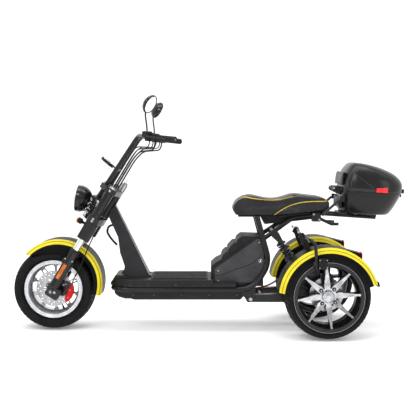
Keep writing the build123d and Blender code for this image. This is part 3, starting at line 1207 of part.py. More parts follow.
def top_box():
    """Hollow top box in two moulded halves, hinged at the front, latched at the rear."""
    shell = box_solid(0) - box_solid(BOX_WALL)
    below = Pos(-180, 0, BOX_SEAM - 200) * Box(700, 700, 400)
    above = Pos(-180, 0, BOX_SEAM + SEAT_GAP + 200) * Box(700, 700, 400)
    base, lid = shell & below, shell & above
    pin_gap = RUN_FIT
    for side in (1, -1):
        y = side * HINGE_HALF
        for inner in (-1, 1):
            ear_y = y + inner * 13
            ear = make_face(FilletPolyline(
                (BOX_FRONT - 5, 98), (BOX_FRONT - 5, BOX_SEAM - 2), (HINGE_X - 12, BOX_SEAM - 2),
                (HINGE_X - 6, HINGE_Z + 11), (HINGE_X + 12, HINGE_Z + 4), (HINGE_X + 8, HINGE_Z - 14), radius=3, close=True))
            base += side_body(ear, ear_y, 8)
        base += across(HINGE_PIN_R, y - 16, y + 16, HINGE_X, HINGE_Z)
        knuckle = make_face(FilletPolyline(
            (BOX_FRONT - 5, BOX_SEAM + 2), (BOX_FRONT - 5, BOX_SEAM + 16), (HINGE_X, HINGE_Z + 12),
            (HINGE_X + 11, HINGE_Z), (HINGE_X, HINGE_Z - 3 - 8), (HINGE_X - 10, BOX_SEAM + 2), radius=2, close=True))
        lug = side_body(knuckle, y, 16)
        lid += lug - across(HINGE_PIN_R + pin_gap, y - 20, y + 20, HINGE_X, HINGE_Z)
    latch = Pos(BOX_REAR - 10, 0, BOX_SEAM + 10) * Box(16, 54, 26)
    latch = fillet(latch.edges().filter_by(Axis.Y), 4)
    lid += latch + Pos(BOX_REAR - 1, 0, BOX_SEAM + 14) * Box(14, 40, 14)
    base += Pos(BOX_REAR + 6, 0, BOX_SEAM - 14) * Box(20, 40, 18)
    keep("topbox_base", on_box(base))
    keep("topbox_lid", on_box(lid))


def box_pads():
    """Backrest pad on the lid, and the filler pad below it on the base, both following the box's curved front."""
    skin = box_solid(-PAD_THICK) - box_solid(-SEAT_GAP)
    for name, tall, z in (("backrest_pad", 84, 194), ("topbox_front_pad", 76, 56)):
        front = Pos(-60, 0, 0) * extrude(Plane.YZ * Pos(0, z) * RectangleRounded(PAD_WIDTH, tall, 20), amount=100)
        keep(name, on_box(skin & front))


def box_reflectors():
    """Slanted reflectors on the lid's rear flanks that hang a little over the seam."""
    skin = box_solid(-SEAT_GAP - REFLECTOR_THICK) - box_solid(-SEAT_GAP)
    outline = make_face(FilletPolyline(
        (-192, 121), (-194, 153), (-258, 161), (-259, 118), radius=5, close=True))
    patch = extrude(Plane.XZ * outline, amount=BOX_WIDTH, both=True)
    keep("topbox_reflectors", on_box(skin & patch))


def make_rear():
    seat_frame()
    swingarm()
    pivot_bolt()
    rear_motor()
    rear_shocks()
    rear_calipers()
    rear_fenders()
    tail_lamps()
    rear_footrests()
    rear_rack()
    top_box()
    box_pads()
    box_reflectors()


if __name__ == "__main__":
    make_wheels()
    make_steering()
    main_frame()
    wiring_loom()
    frame_rails()
    battery_tray()
    deck()
    battery_case()
    case_panels()
    case_cover()
    motor_cable()
    seat_and_pan()
    make_rear()
    for name, shape in NODES.items():
        export_step(shape, f"parts/{name}.step")
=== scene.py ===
"""Electric tricycle: finishes, tread, fastenings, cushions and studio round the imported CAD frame.

Everything is in metres in the machine's own frame: x forward, y to the left, z up, floor at z = 0.
"""
import math
import random

import bmesh
import bpy
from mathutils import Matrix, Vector
from mathutils.bvhtree import BVHTree
from mathutils.kdtree import KDTree


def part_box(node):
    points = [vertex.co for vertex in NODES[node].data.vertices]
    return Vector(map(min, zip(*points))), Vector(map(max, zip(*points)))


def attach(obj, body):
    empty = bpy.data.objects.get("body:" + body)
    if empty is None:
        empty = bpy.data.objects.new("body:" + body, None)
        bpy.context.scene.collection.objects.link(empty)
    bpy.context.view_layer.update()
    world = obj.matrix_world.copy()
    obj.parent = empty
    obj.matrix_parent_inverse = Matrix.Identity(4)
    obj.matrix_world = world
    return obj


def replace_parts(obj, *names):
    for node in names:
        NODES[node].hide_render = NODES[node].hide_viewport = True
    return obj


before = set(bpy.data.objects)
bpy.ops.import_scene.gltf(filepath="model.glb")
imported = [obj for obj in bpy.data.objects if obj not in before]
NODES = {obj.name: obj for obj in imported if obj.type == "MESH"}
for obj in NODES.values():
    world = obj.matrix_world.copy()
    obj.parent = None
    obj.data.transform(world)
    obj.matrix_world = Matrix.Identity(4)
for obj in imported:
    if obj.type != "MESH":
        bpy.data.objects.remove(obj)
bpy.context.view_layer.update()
TAU = math.tau
Y = Vector((0, 1, 0))
Z = Vector((0, 0, 1))
SIDES = (1, -1)
NAMED_SIDES = ((1, "left"), (-1, "right"))
SQUARE = ((-1, -1), (1, -1), (1, 1), (-1, 1))


# ------------------------------------------------------------------ camera
def camera():
    """The photograph's own view: from the left, slightly from above."""
    data = bpy.data.cameras.new("camera")
    data.lens = 70.96
    data.sensor_width = 36
    data.clip_end = 100
    obj = bpy.data.objects.new("camera", data)
    obj.location = (0.007, 4.81, 1.04)
    obj.rotation_euler = (math.radians(86.02), 0, math.pi)
    bpy.context.collection.objects.link(obj)
    bpy.context.scene.camera = obj


camera()


# ------------------------------------------------------------------ places
def centre(node):
    """Middle of a CAD node's box."""
    low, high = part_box(node)
    return (low + high) / 2


def heading(degrees):
    """Unit vector in the side plane, turned up from forward."""
    a = math.radians(degrees)
    return Vector((math.cos(a), 0, math.sin(a)))


FRONT = centre("front_tyre")
REAR = {1: centre("rear_tyre_left"), -1: centre("rear_tyre_right")}
RAKE = 31
AHEAD, UP = heading(RAKE), heading(RAKE + 90)
BOX_TILT = 4
BOX_ORIGIN = Vector((-0.74, 0, 0.69))
BOX_X, BOX_Z = heading(BOX_TILT), heading(BOX_TILT + 90)


def fork(n, y, s):
    """A place ahead of the fork's legs, across and along them."""
    return FRONT + AHEAD * n + Y * y + UP * s


def on_box(x, y, z):
    """A place in the top box's own tilted frame."""
    return BOX_ORIGIN + BOX_X * x + Y * y + BOX_Z * z


def polar(middle, radius, degrees, y):
    """A place round a wheel's axle."""
    return middle + heading(degrees) * radius + Y * y


# ------------------------------------------------------------------ materials
class Finish:
    """One procedural material on object coordinates, which are the machine's own at rest."""

    def __init__(self, name, colour=(0.5, 0.5, 0.5), **numbers):
        self.material = bpy.data.materials.new(name)
        self.material.use_nodes = True
        self.tree = self.material.node_tree
        self.shader = self.tree.nodes["Principled BSDF"]
        self.where = self.node("ShaderNodeTexCoord").outputs["Object"]
        self.normal = None
        self.shader.inputs["Base Color"].default_value = (*colour, 1)
        for key, value in numbers.items():
            self.shader.inputs[key.replace("_", " ")].default_value = value

    def node(self, kind, inputs=(), **settings):
        made = self.tree.nodes.new(kind)
        for key, value in settings.items():
            setattr(made, key, value)
        for key, value in dict(inputs).items():
            self.feed(made.inputs[key], value)
        return made

    def feed(self, socket, value):
        if isinstance(value, bpy.types.NodeSocket):
            self.tree.links.new(value, socket)
        else:
            socket.default_value = value

    def set(self, name, value):
        self.feed(self.shader.inputs[name], value)

    def noise(self, scale, detail=4.0, rough=0.55, where=None):
        made = self.node("ShaderNodeTexNoise", {
            "Vector": where or self.where, "Scale": scale, "Detail": detail, "Roughness": rough})
        return made.outputs["Fac"]

    def cells(self, scale):
        made = self.node("ShaderNodeTexVoronoi", {"Vector": self.where, "Scale": scale}, feature="F1")
        return made.outputs["Distance"]

    def waves(self, scale, way):
        made = self.node("ShaderNodeTexWave", {"Vector": self.where, "Scale": scale, "Distortion": 0.0},
                         wave_type="BANDS", bands_direction=way)
        return made.outputs["Fac"]

    def stretched(self, scale):
        """The coordinates scaled unevenly, for brushing and grain."""
        return self.node("ShaderNodeMapping", {"Vector": self.where, "Scale": scale}).outputs["Vector"]

    def sum(self, kind, a, b=0.0):
        made = self.node("ShaderNodeMath", operation=kind)
        for socket, value in zip(made.inputs, (a, b)):
            self.feed(socket, value)
        return made.outputs[0]

    def axis(self, index):
        return self.node("ShaderNodeSeparateXYZ", {"Vector": self.where}).outputs[index]

    def spread(self, value, low, high, to_low=0.0, to_high=1.0):
        made = self.node("ShaderNodeMapRange", interpolation_type="SMOOTHSTEP")
        for key, number in (("Value", value), ("From Min", low), ("From Max", high),
                            ("To Min", to_low), ("To Max", to_high)):
            self.feed(made.inputs[key], number)
        return made.outputs["Result"]

    def past(self, value, edge, soft=0.0006):
        """1 where a value is above an edge, with a soft step."""
        return self.spread(value, edge - soft, edge + soft)

    def between(self, value, low, high):
        """1 where a value is from low to high, with soft edges."""
        return self.sum("SUBTRACT", self.past(value, low), self.past(value, high))

    def radius(self, middle):
        """Distance from a cross-machine axis."""
        dx = self.sum("SUBTRACT", self.axis(0), middle.x)
        dz = self.sum("SUBTRACT", self.axis(2), middle.z)
        return self.sum("SQRT", self.sum("ADD", self.sum("MULTIPLY", dx, dx), self.sum("MULTIPLY", dz, dz)))

    def mix(self, share, a, b):
        """Colour a, or b where share is 1."""
        made = self.node("ShaderNodeMix", data_type="RGBA")
        for socket, value in ((made.inputs[0], share), (made.inputs[6], a), (made.inputs[7], b)):
            if not isinstance(value, (bpy.types.NodeSocket, float)):
                value = (*value, 1)
            self.feed(socket, value)
        return made.outputs[2]

    def colour(self, noise, dark, light, low=0.3, high=0.7):
        """Base colour that wanders between two tones with a noise."""
        self.set("Base Color", self.mix(self.spread(noise, low, high), dark, light))

    def base(self):
        """What the base colour is made of so far."""
        return self.shader.inputs["Base Color"].links[0].from_socket

    def cover(self, share, colour):
        """Another colour over the base colour, where share is 1."""
        self.set("Base Color", self.mix(share, self.base(), colour))

    def gloss(self, noise, rough, low=0.3, high=0.7):
        """Roughness that wanders with a noise."""
        self.set("Roughness", self.spread(noise, low, high, *rough))

    def bump(self, height, strength, depth=0.001):
        made = self.node("ShaderNodeBump", {"Height": height, "Strength": strength, "Distance": depth})
        if self.normal:
            self.feed(made.inputs["Normal"], self.normal)
        self.normal = made.outputs["Normal"]
        self.set("Normal", self.normal)

    def dust(self, amount):
        """Share of a thin film on faces that look up, broken by noise."""
        normal = self.node("ShaderNodeNewGeometry").outputs["Normal"]
        up = self.node("ShaderNodeSeparateXYZ", {"Vector": normal}).outputs[2]
        film = self.spread(up, 0.35, 1.0)
        return self.sum("MULTIPLY", self.sum("MULTIPLY", film, self.noise(46.0, 6.0)), amount)


JET, COAL, SOOT = (0.003, 0.003, 0.0035), (0.004, 0.004, 0.0045), (0.006, 0.006, 0.007)
PITCH, SLATE = (0.008, 0.008, 0.009), (0.009, 0.009, 0.0095)
DUST = (0.11, 0.108, 0.1)


def coated(name, dark, light, rough, peel, grain=320.0, metal=0.0, coat=0.0, dust=0.02, shine=0.24):
    """Paint or moulded plastic: colour that wanders, uneven gloss, orange peel and a little dust."""
    f = Finish(name, Metallic=metal, Coat_Weight=coat, Coat_Roughness=0.08, Specular_IOR_Level=shine)
    f.colour(f.noise(9.0, 5.0), dark, light)
    film = f.dust(dust)
    f.cover(film, DUST)
    gloss = f.spread(f.noise(30.0, 6.0, 0.6), 0.3, 0.7, *rough)
    f.set("Roughness", f.sum("ADD", gloss, f.sum("MULTIPLY", film, 0.4)))
    f.bump(f.noise(grain, 3.0), peel, 0.0004)
    f.bump(f.noise(38.0, 3.0), peel * 0.5, 0.001)
    return f


def grained(name, dark, light, rough=(0.5, 0.65), cell=900.0, depth=0.35, dust=0.12):
    """Moulded plastic with a fine leathery grain."""
    f = coated(name, dark, light, rough, peel=0.06, grain=cell * 0.5, dust=dust)
    f.bump(f.cells(cell), depth, 0.0004)
    return f


def metal(name, dark, light, rough=(0.2, 0.3), brushed=(1.0, 1.0, 1.0), scratch=0.12):
    """Bare metal with brushing, small scratches and smears."""
    f = Finish(name, Metallic=1.0)
    lines = f.noise(420.0, 4.0, 0.7, f.stretched(brushed))
    smear = f.noise(24.0, 6.0, 0.65)
    f.colour(smear, dark, light, 0.3, 0.75)
    gloss = f.spread(smear, 0.25, 0.75, *rough)
    f.set("Roughness", f.sum("ADD", gloss, f.spread(lines, 0.3, 0.7, -0.04, 0.06)))
    f.bump(lines, scratch, 0.0003)
    return f


def striped_fender(name, middle, low, high, line, side_from=None):
    """Gloss black sheet with a yellow band from radius low to high, and a fine dark line in the band."""
    f = coated(name, JET, SOOT, (0.34, 0.46), 0.05, dust=0.01, shine=0.05)
    reach = f.radius(middle)
    band = f.between(reach, low, high)
    if side_from is not None:
        band = f.sum("MULTIPLY", band, f.past(f.sum("ABSOLUTE", f.axis(1)), side_from))
    band = f.sum("MULTIPLY", band, f.sum("SUBTRACT", 1.0, f.between(reach, line - 0.0012, line + 0.0012)))
    f.cover(band, f.mix(f.spread(f.noise(14.0, 4.0), 0.3, 0.7), (0.6, 0.5, 0.022), (0.7, 0.59, 0.034)))
    f.bump(band, 0.5, 0.0004)
    return f


def tyre_rubber():
    """Worn black rubber with pale specks."""
    f = Finish("tyre_rubber", Specular_IOR_Level=0.09)
    worn = f.noise(18.0, 6.0, 0.6)
    f.colour(worn, (0.005, 0.005, 0.0055), (0.012, 0.012, 0.0125), 0.3, 0.72)
    speck = f.spread(f.noise(260.0, 5.0), 0.62, 0.8)
    f.cover(f.sum("MULTIPLY", speck, 0.3), (0.03, 0.029, 0.028))
    f.gloss(worn, (0.52, 0.74))
    f.bump(f.noise(700.0, 4.0), 0.25, 0.0005)
    f.bump(f.noise(60.0, 4.0), 0.12, 0.001)
    return f


def rubber(name, dark, light, rough):
    """Soft moulded rubber."""
    f = Finish(name, Specular_IOR_Level=0.25)
    cloud = f.noise(26.0, 5.0)
    f.colour(cloud, dark, light)
    f.gloss(cloud, rough)
    f.bump(f.noise(520.0, 4.0), 0.3, 0.0004)
    return f


def leather(name, dark, light, cell=420.0):
    """Synthetic leather: pebbled cells, fine pores, soft creases and a low sheen."""
    f = Finish(name, Sheen_Weight=0.05, Sheen_Roughness=0.5, Specular_IOR_Level=0.28)
    pebble = f.cells(cell)
    f.colour(f.noise(11.0, 5.0), dark, light)
    f.cover(f.spread(pebble, 0.0, 0.5, 0.5, 0.0), dark)
    f.gloss(f.noise(34.0, 5.0), (0.36, 0.5))
    f.bump(pebble, 0.32, 0.0006)
    f.bump(f.noise(1500.0, 2.0), 0.15, 0.0003)
    f.bump(f.noise(24.0, 3.0, 0.5), 0.22, 0.003)
    return f


def lens(name, colour, rough, ribs=520.0):
    """Moulded lens with fine upright ribs."""
    f = Finish(name, IOR=1.49, Coat_Weight=0.08, Coat_Roughness=0.1, Specular_IOR_Level=0.25)
    light = tuple(min(1.0, c * 1.25 + 0.01) for c in colour)
    f.colour(f.noise(40.0, 4.0), tuple(c * 0.72 for c in colour), light)
    f.gloss(f.noise(160.0, 3.0), (rough, rough + 0.08))
    f.bump(f.waves(ribs / TAU, "X"), 0.3, 0.0004)
    return f


def clear_glass():
    """Slightly tinted, slightly hazy glass of the headlight."""
    f = Finish("headlight_glass", (0.93, 0.96, 0.98), Transmission_Weight=1.0, IOR=1.46, Coat_Weight=0.4)
    f.colour(f.noise(12.0, 3.0), (0.86, 0.9, 0.93), (0.97, 0.98, 0.99))
    f.gloss(f.noise(90.0, 5.0), (0.02, 0.09), 0.4, 0.8)
    f.bump(f.noise(46.0, 2.0), 0.05, 0.0004)
    return f


def mirror_glass():
    """Silvered glass with a little haze."""
    f = Finish("mirror_glass", Metallic=1.0)
    haze = f.noise(36.0, 5.0)
    f.colour(haze, (0.8, 0.82, 0.84), (0.92, 0.93, 0.94), 0.35, 0.75)
    f.gloss(haze, (0.015, 0.08), 0.45, 0.85)
    f.bump(f.noise(30.0, 2.0), 0.02, 0.0002)
    return f


def lathe_turned(name, middle, dark, light, rough, rings=1400.0):
    """Bright metal with the fine rings that a lathe leaves round an axle."""
    f = Finish(name, Metallic=1.0)
    ring = f.sum("SINE", f.sum("MULTIPLY", f.radius(middle), rings * TAU))
    smear = f.noise(22.0, 6.0, 0.6)
    f.colour(smear, dark, light)
    f.set("Roughness", f.sum("ADD", f.spread(smear, 0.3, 0.7, *rough), f.sum("MULTIPLY", ring, 0.02)))
    f.bump(ring, 0.06, 0.0002)
    return f


def dark_backed_rim():
    """Black painted rear wheel with a bright cut lip."""
    f = coated("black_rear_rim", JET, PITCH, (0.22, 0.34), 0.08, coat=0.2)
    edge = f.past(f.radius(REAR[1]), 0.1928)
    f.cover(edge, f.mix(f.noise(30.0), (0.16, 0.16, 0.17), (0.3, 0.305, 0.32)))
    f.set("Metallic", edge)
    return f


def black_hubbed_rim():
    """Front wheel: black hub shell, satin spokes and a bright barrel."""
    f = lathe_turned("bright_rim", FRONT, (0.42, 0.43, 0.45), (0.62, 0.63, 0.65), (0.1, 0.2))
    reach = f.radius(FRONT)
    bright, barrel = f.past(reach, 0.049, 0.0005), f.past(reach, 0.128, 0.002)
    spokes = f.mix(f.noise(90.0), (0.1, 0.1, 0.105), (0.26, 0.265, 0.275))
    f.set("Base Color", f.mix(bright, SOOT, f.mix(barrel, spokes, f.base())))
    f.set("Metallic", f.sum("MULTIPLY", bright, f.spread(reach, 0.126, 0.15, 0.9, 0.62)))
    return f


def signal_lamp():
    """Black bullet lamp with an amber lens on its nose."""
    f = coated("signal_shell", JET, SOOT, (0.24, 0.34), 0.05, shine=0.15)
    ahead = f.node("ShaderNodeVectorMath", {0: f.where, 1: tuple(AHEAD)}, operation="DOT_PRODUCT")
    nose = f.past(ahead.outputs["Value"], AHEAD.dot(FRONT) + 0.077, 0.0005)
    f.cover(nose, f.mix(f.noise(70.0), (0.45, 0.09, 0.004), (0.62, 0.15, 0.01)))
    return f


def lamp_housing():
    """Tail lamp: black shell whose rear end is the red lens."""
    f = coated("tail_lamp_shell", JET, SOOT, (0.3, 0.42), 0.05, shine=0.08)
    red = f.between(f.axis(0), -0.9, REAR[1].x - 0.18)
    f.cover(red, f.mix(f.noise(60.0), (0.3, 0.004, 0.004), (0.55, 0.014, 0.012)))
    f.bump(f.sum("MULTIPLY", f.waves(42.0, "Y"), red), 0.5, 0.0006)
    return f


def dial_face():
    """Dark glass of the generic round display."""
    f = Finish("dial_face", Coat_Weight=1.0, Coat_Roughness=0.03)
    cloud = f.noise(60.0, 4.0)
    f.colour(cloud, (0.01, 0.011, 0.013), (0.022, 0.024, 0.028))
    f.gloss(cloud, (0.1, 0.2))
    f.bump(f.noise(90.0, 2.0), 0.03, 0.0002)
    return f


def floor_finish():
    """Plain white floor that melts into the backdrop."""
    f = Finish("studio_floor", Emission_Strength=0.16, Specular_IOR_Level=0.1)
    f.shader.inputs["Emission Color"].default_value = (1, 1, 1, 1)
    f.colour(f.noise(0.8, 4.0), (0.93, 0.93, 0.93), (0.95, 0.95, 0.95), 0.2, 0.8)
    f.gloss(f.noise(5.0, 4.0), (0.7, 0.8))
    return f


TYRE = tyre_rubber()
RUBBER = rubber("soft_rubber", (0.004, 0.004, 0.004), (0.011, 0.011, 0.012), (0.5, 0.7))
CABLE = rubber("cable_sheath", (0.003, 0.003, 0.003), (0.007, 0.007, 0.0075), (0.38, 0.52))
RED_CABLE = rubber("red_cable_sheath", (0.16, 0.022, 0.012), (0.26, 0.045, 0.025), (0.36, 0.5))
BLACK_FRAME = coated("black_frame_paint", COAL, (0.01, 0.01, 0.011), (0.26, 0.4), 0.12, coat=0.1)
GREY_FRAME = coated(
    "charcoal_frame_paint", (0.008, 0.0085, 0.01), (0.015, 0.0155, 0.018), (0.34, 0.46), 0.14, coat=0.08)
GLOSS_BLACK = coated("gloss_black_shell", JET, (0.007, 0.007, 0.008), (0.1, 0.2), 0.05, coat=0.25)
MATTE_BLACK = grained("matte_black_plastic", COAL, (0.009, 0.009, 0.01))
BOX_PLASTIC = grained(
    "textured_box_plastic", (0.005, 0.005, 0.0055), (0.01, 0.01, 0.011), (0.24, 0.3), 620.0, 0.05, 0.01)
# Grey panel plastic of the case sides; the lid's creases also take it as a painted highlight.
GREY_PANEL_AND_CREASE_HIGHLIGHT = grained(
    "grey_panel_plastic_and_crease_highlight", (0.024, 0.0245, 0.027), (0.042, 0.0425, 0.046), (0.34, 0.46), 760.0, 0.2)
DECK_PLASTIC = grained("deck_plastic", COAL, SLATE, (0.34, 0.48), 700.0, 0.25)
DARK_CAST = coated(
    "dark_cast_alloy", (0.008, 0.008, 0.0085), (0.02, 0.02, 0.021), (0.34, 0.48), 0.3, metal=0.3)
STEEL = metal("bolt_steel", (0.3, 0.3, 0.31), (0.5, 0.5, 0.52), (0.2, 0.32), (1.0, 3.0, 1.0))
DARK_BOLTS = metal("black_zinc_bolts", (0.05, 0.05, 0.052), (0.12, 0.12, 0.125), (0.3, 0.42))
CHROME = metal("chrome", (0.78, 0.79, 0.81), (0.9, 0.91, 0.93), (0.04, 0.1), (1.0, 1.0, 0.05), 0.03)
SLIDER = coated("slider_paint", JET, PITCH, (0.16, 0.28), 0.07, coat=0.2)
RED_PAINT = coated(
    "red_caliper_paint", (0.52, 0.006, 0.006), (0.68, 0.012, 0.01), (0.3, 0.42), 0.12, dust=0.01, shine=0.2)
AMBER = lens("amber_lens", (0.46, 0.105, 0.004), 0.3)
RED_LENS = lens("red_lens", (0.72, 0.018, 0.014), 0.2)
CLEAR, MIRROR, DIAL = clear_glass(), mirror_glass(), dial_face()
SEAT_LEATHER = leather("saddle_leather", (0.006, 0.0055, 0.007), (0.012, 0.0115, 0.014))
PAD_LEATHER = leather("pad_leather", COAL, SLATE, 360.0)
PIPING = leather("yellow_piping", (0.5, 0.34, 0.02), (0.66, 0.48, 0.04), 900.0)
THREAD = leather("seam_thread", (0.02, 0.02, 0.021), (0.05, 0.05, 0.052), 1200.0)
YELLOW_PRINT = coated("yellow_trim", (0.72, 0.52, 0.01), (0.85, 0.64, 0.02), (0.2, 0.3), 0.05)
FRONT_FENDER = striped_fender(
    "front_fender_paint", FRONT + Vector((-0.031, 0, 0.036)), 0.229, 0.3, 0.2445, side_from=0.074)
REAR_FENDER = striped_fender("rear_fender_paint", REAR[1], 0.247, 0.2752, 0.2615)
FRONT_RIM, REAR_RIM = black_hubbed_rim(), dark_backed_rim()
STAR = lathe_turned("machined_star", REAR[1], (0.27, 0.275, 0.29), (0.6, 0.61, 0.63), (0.08, 0.16))
DISC = lathe_turned("disc_steel", FRONT, (0.26, 0.26, 0.27), (0.44, 0.44, 0.46), (0.2, 0.32))
LAMPS, SIGNALS = lamp_housing(), signal_lamp()

NODE_FINISHES = (
    (GREY_FRAME, "main_frame"),
    (BLACK_FRAME, "frame_rails seat_frame swingarm rear_shocks rear_footrests rear_rack fork_clamps"),
    (BLACK_FRAME, "headlight_bracket handlebar"), (DECK_PLASTIC, "battery_tray deck_plate"),
    (RUBBER, "deck_mat grips"), (MATTE_BLACK, "battery_case case_cover seat_pan bar_controls"),
    (GREY_PANEL_AND_CREASE_HIGHLIGHT, "case_panels"), (STEEL, "swingarm_pivot ignition_lock rear_hub_left rear_hub_right"),
    (DARK_CAST, "rear_motor rear_calipers"), (SLIDER, "shock_springs fork_sliders fork_covers"),
    (REAR_FENDER, "rear_fender_left rear_fender_right"), (FRONT_FENDER, "front_fender"),
    (LAMPS, "tail_lamps"), (SIGNALS, "front_turn_signals"), (BOX_PLASTIC, "topbox_base topbox_lid"),
    (CHROME, "fork_stanchions"), (DARK_BOLTS, "front_axle"), (RED_PAINT, "front_caliper"),
    (GLOSS_BLACK, "headlight_bucket mirrors dash_display"), (CLEAR, "headlight_lens"),
    (FRONT_RIM, "front_rim"), (DISC, "front_brake_disc"), (CABLE, "control_cables wiring_loom"),
    (RED_CABLE, "motor_cable"), (AMBER, "fork_reflectors"), (RED_LENS, "topbox_reflectors"),
    (SEAT_LEATHER, "seat"), (PAD_LEATHER, "backrest_pad topbox_front_pad"),
    (TYRE, "front_tyre rear_tyre_left rear_tyre_right"),
    (REAR_RIM, "rear_rim_left rear_rim_right"), (STAR, "rear_star_left rear_star_right"))
for node_finish, node_names in NODE_FINISHES:
    for node_name in node_names.split():
        NODES[node_name].data.materials.clear()
        NODES[node_name].data.materials.append(node_finish.material)


# ------------------------------------------------------------------ mesh helpers
def placed(name, mesh, finish, body, sharp=35.0):
    """An object of a mesh, with its finish, that rides on a body."""
    mesh.materials.append(finish.material)
    mesh.shade_smooth()
    mesh.set_sharp_from_angle(angle=math.radians(sharp))
    obj = bpy.data.objects.new(name, mesh)
    bpy.context.collection.objects.link(obj)
    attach(obj, body)
    return obj


def piece(name, bm, finish, body, slot, sharp=35.0):
    """Turns a bmesh into a named piece that rides on a body."""
    bmesh.ops.recalc_face_normals(bm, faces=bm.faces[:])
    mesh = bpy.data.meshes.new(name)
    bm.to_mesh(mesh)
    bm.free()
    return placed(name, mesh, finish, body, sharp)


STARTED = []


def begin(name, finish, body, slot, sharp=35.0, stands_for=None):
    """A new bmesh that build() turns into a piece of that name, for a CAD node or beside it."""
    bm = bmesh.new()
    STARTED.append((stands_for, (name, bm, finish, body, slot, sharp)))
    return bm


def build(*makers):
    """Runs functions that start pieces, and turns what each one started into pieces."""
    for maker in makers:
        maker()
        while STARTED:
            node, started = STARTED.pop(0)
            made = piece(*started)
            if node:
                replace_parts(made, node)


def basis(out):
    """Two directions square to out, and out itself."""
    out = Vector(out).normalized()
    side = out.cross(Z if abs(out.z) < 0.9 else Vector((1, 0, 0))).normalized()
    return side, out.cross(side), out


def circle(at, out, radius, count=48):
    """Points round a place, square to out."""
    u, v, _ = basis(out)
    turns = [i * TAU / count for i in range(count)]
    return [Vector(at) + (u * math.cos(a) + v * math.sin(a)) * radius for a in turns]


def bridge(bm, low, high):
    """Quads between two closed loops of vertices."""
    for i in range(len(low)):
        j = (i + 1) % len(low)
        bm.faces.new((low[i], low[j], high[j], high[i]))


def skin(bm, rings, capped=True):
    """Faces from ring to ring of points, with flat ends."""
    loops = [[bm.verts.new(p) for p in ring] for ring in rings]
    for low, high in zip(loops, loops[1:]):
        bridge(bm, low, high)
    if capped:
        bm.faces.new(loops[0][::-1])
        bm.faces.new(loops[-1])
    return loops


def stack(bm, at, out, rings, sides=24, capped=True):
    """A turned form from (height, radius) rings along a direction."""
    at, way = Vector(at), Vector(out).normalized()
    return skin(bm, [circle(at + way * height, out, radius, sides) for height, radius in rings], capped)


def hex_bolt(bm, at, out, size=0.01, high=0.006, washer=True):
    """Hexagon head with a chamfered top, on a washer."""
    r = size / 2
    base = 0.0
    if washer:
        stack(bm, at, out, [(-0.001, r * 1.45), (0.0012, r * 1.45), (0.0016, r * 1.3)], 20)
        base = 0.001
    stack(bm, at, out, [(base, r * 1.12), (base + high * 0.78, r * 1.12), (base + high, r * 0.9)], 6)


def socket_bolt(bm, at, out, size=0.009, high=0.006):
    """Round head with a hexagon socket."""
    r = size / 2
    stack(bm, at, out,
          [(-0.001, r), (high * 0.75, r), (high, r * 0.84), (high, r * 0.5), (high * 0.45, r * 0.48)], 18)


def pipe(bm, points, radius, sides=8, closed=False):
    """A round tube that follows points, closed on itself or capped."""
    points = [Vector(p) for p in points]
    count = len(points)
    rings = []
    side = None
    for i, p in enumerate(points):
        before = points[i - 1] if (i or closed) else p
        after = points[(i + 1) % count] if (i < count - 1 or closed) else p
        along = (after - before).normalized()
        if side is None:
            side = basis(along)[0]
        side = (side - along * side.dot(along)).normalized()
        other = along.cross(side)
        turns = [k * TAU / sides for k in range(sides)]
        rings.append([p + (side * math.cos(a) + other * math.sin(a)) * radius for a in turns])
    loops = skin(bm, rings, not closed)
    if closed:
        first, last = loops[0], loops[-1]
        shift = min(range(sides), key=lambda k: (last[0].co - first[k].co).length)
        bridge(bm, last, first[shift:] + first[:shift])


def hoop(bm, at, out, radius, thick, count=48, sides=6):
    """A ring of wire."""
    pipe(bm, circle(at, out, radius, count), thick, sides, closed=True)


def slab(bm, corners, out, thick, bevel=0.0):
    """A flat outline given a thickness, with a small chamfer on its outer edge."""
    out = Vector(out).normalized()
    corners = [Vector(c) for c in corners]
    middle = sum(corners, Vector()) / len(corners)
    skin(bm, [[c + (middle - c).normalized() * shrink + out * height for c in corners]
              for height, shrink in ((0.0, 0.0), (thick - bevel, 0.0), (thick, bevel))])


def arc_through(a, b, c, count):
    """Points on the circle through three points, from a to c."""
    ax, ay, bx, by, cx, cy = *a, *b, *c
    d = 2 * (ax * (by - cy) + bx * (cy - ay) + cx * (ay - by))
    aa, bb, cc = ax * ax + ay * ay, bx * bx + by * by, cx * cx + cy * cy
    ux = (aa * (by - cy) + bb * (cy - ay) + cc * (ay - by)) / d
    uy = (aa * (cx - bx) + bb * (ax - cx) + cc * (bx - ax)) / d
    radius = math.hypot(ax - ux, ay - uy)
    start, mid, end = (math.atan2(py - uy, px - ux) for px, py in (a, b, c))
    sweep = (end - start) % TAU
    if (mid - start) % TAU > sweep:
        sweep -= TAU
    turns = [start + sweep * i / count for i in range(count + 1)]
    return [(ux + radius * math.cos(t), uy + radius * math.sin(t)) for t in turns]


def smooth_run(points, per=10, held=False):
    """A smooth line through points (Catmull-Rom), whose ends run straight out or are held."""
    points = [Vector(p) for p in points]
    first = points[0] if held else points[0] * 2 - points[1]
    last = points[-1] if held else points[-1] * 2 - points[-2]
    ends = [first] + points + [last]
    run = []
    for a, b, c, d in zip(ends, ends[1:], ends[2:], ends[3:]):
        for t in (i / per for i in range(per)):
            bend, twist = 2 * a - 5 * b + 4 * c - d, 3 * b - a - 3 * c + d
            run.append(0.5 * (2 * b + (c - a) * t + bend * t * t + twist * t ** 3))
    return run + [points[-1]]


def rounded_outline(half_w, half_h, corner, per=5):
    """A rectangle with round corners, as pairs."""
    points = []
    for cx, cy, first in ((1, 1, 0), (-1, 1, 90), (-1, -1, 180), (1, -1, 270)):
        x, y = cx * (half_w - corner), cy * (half_h - corner)
        turns = [math.radians(first + 90 * i / per) for i in range(per + 1)]
        points += [(x + corner * math.cos(a), y + corner * math.sin(a)) for a in turns]
    return points


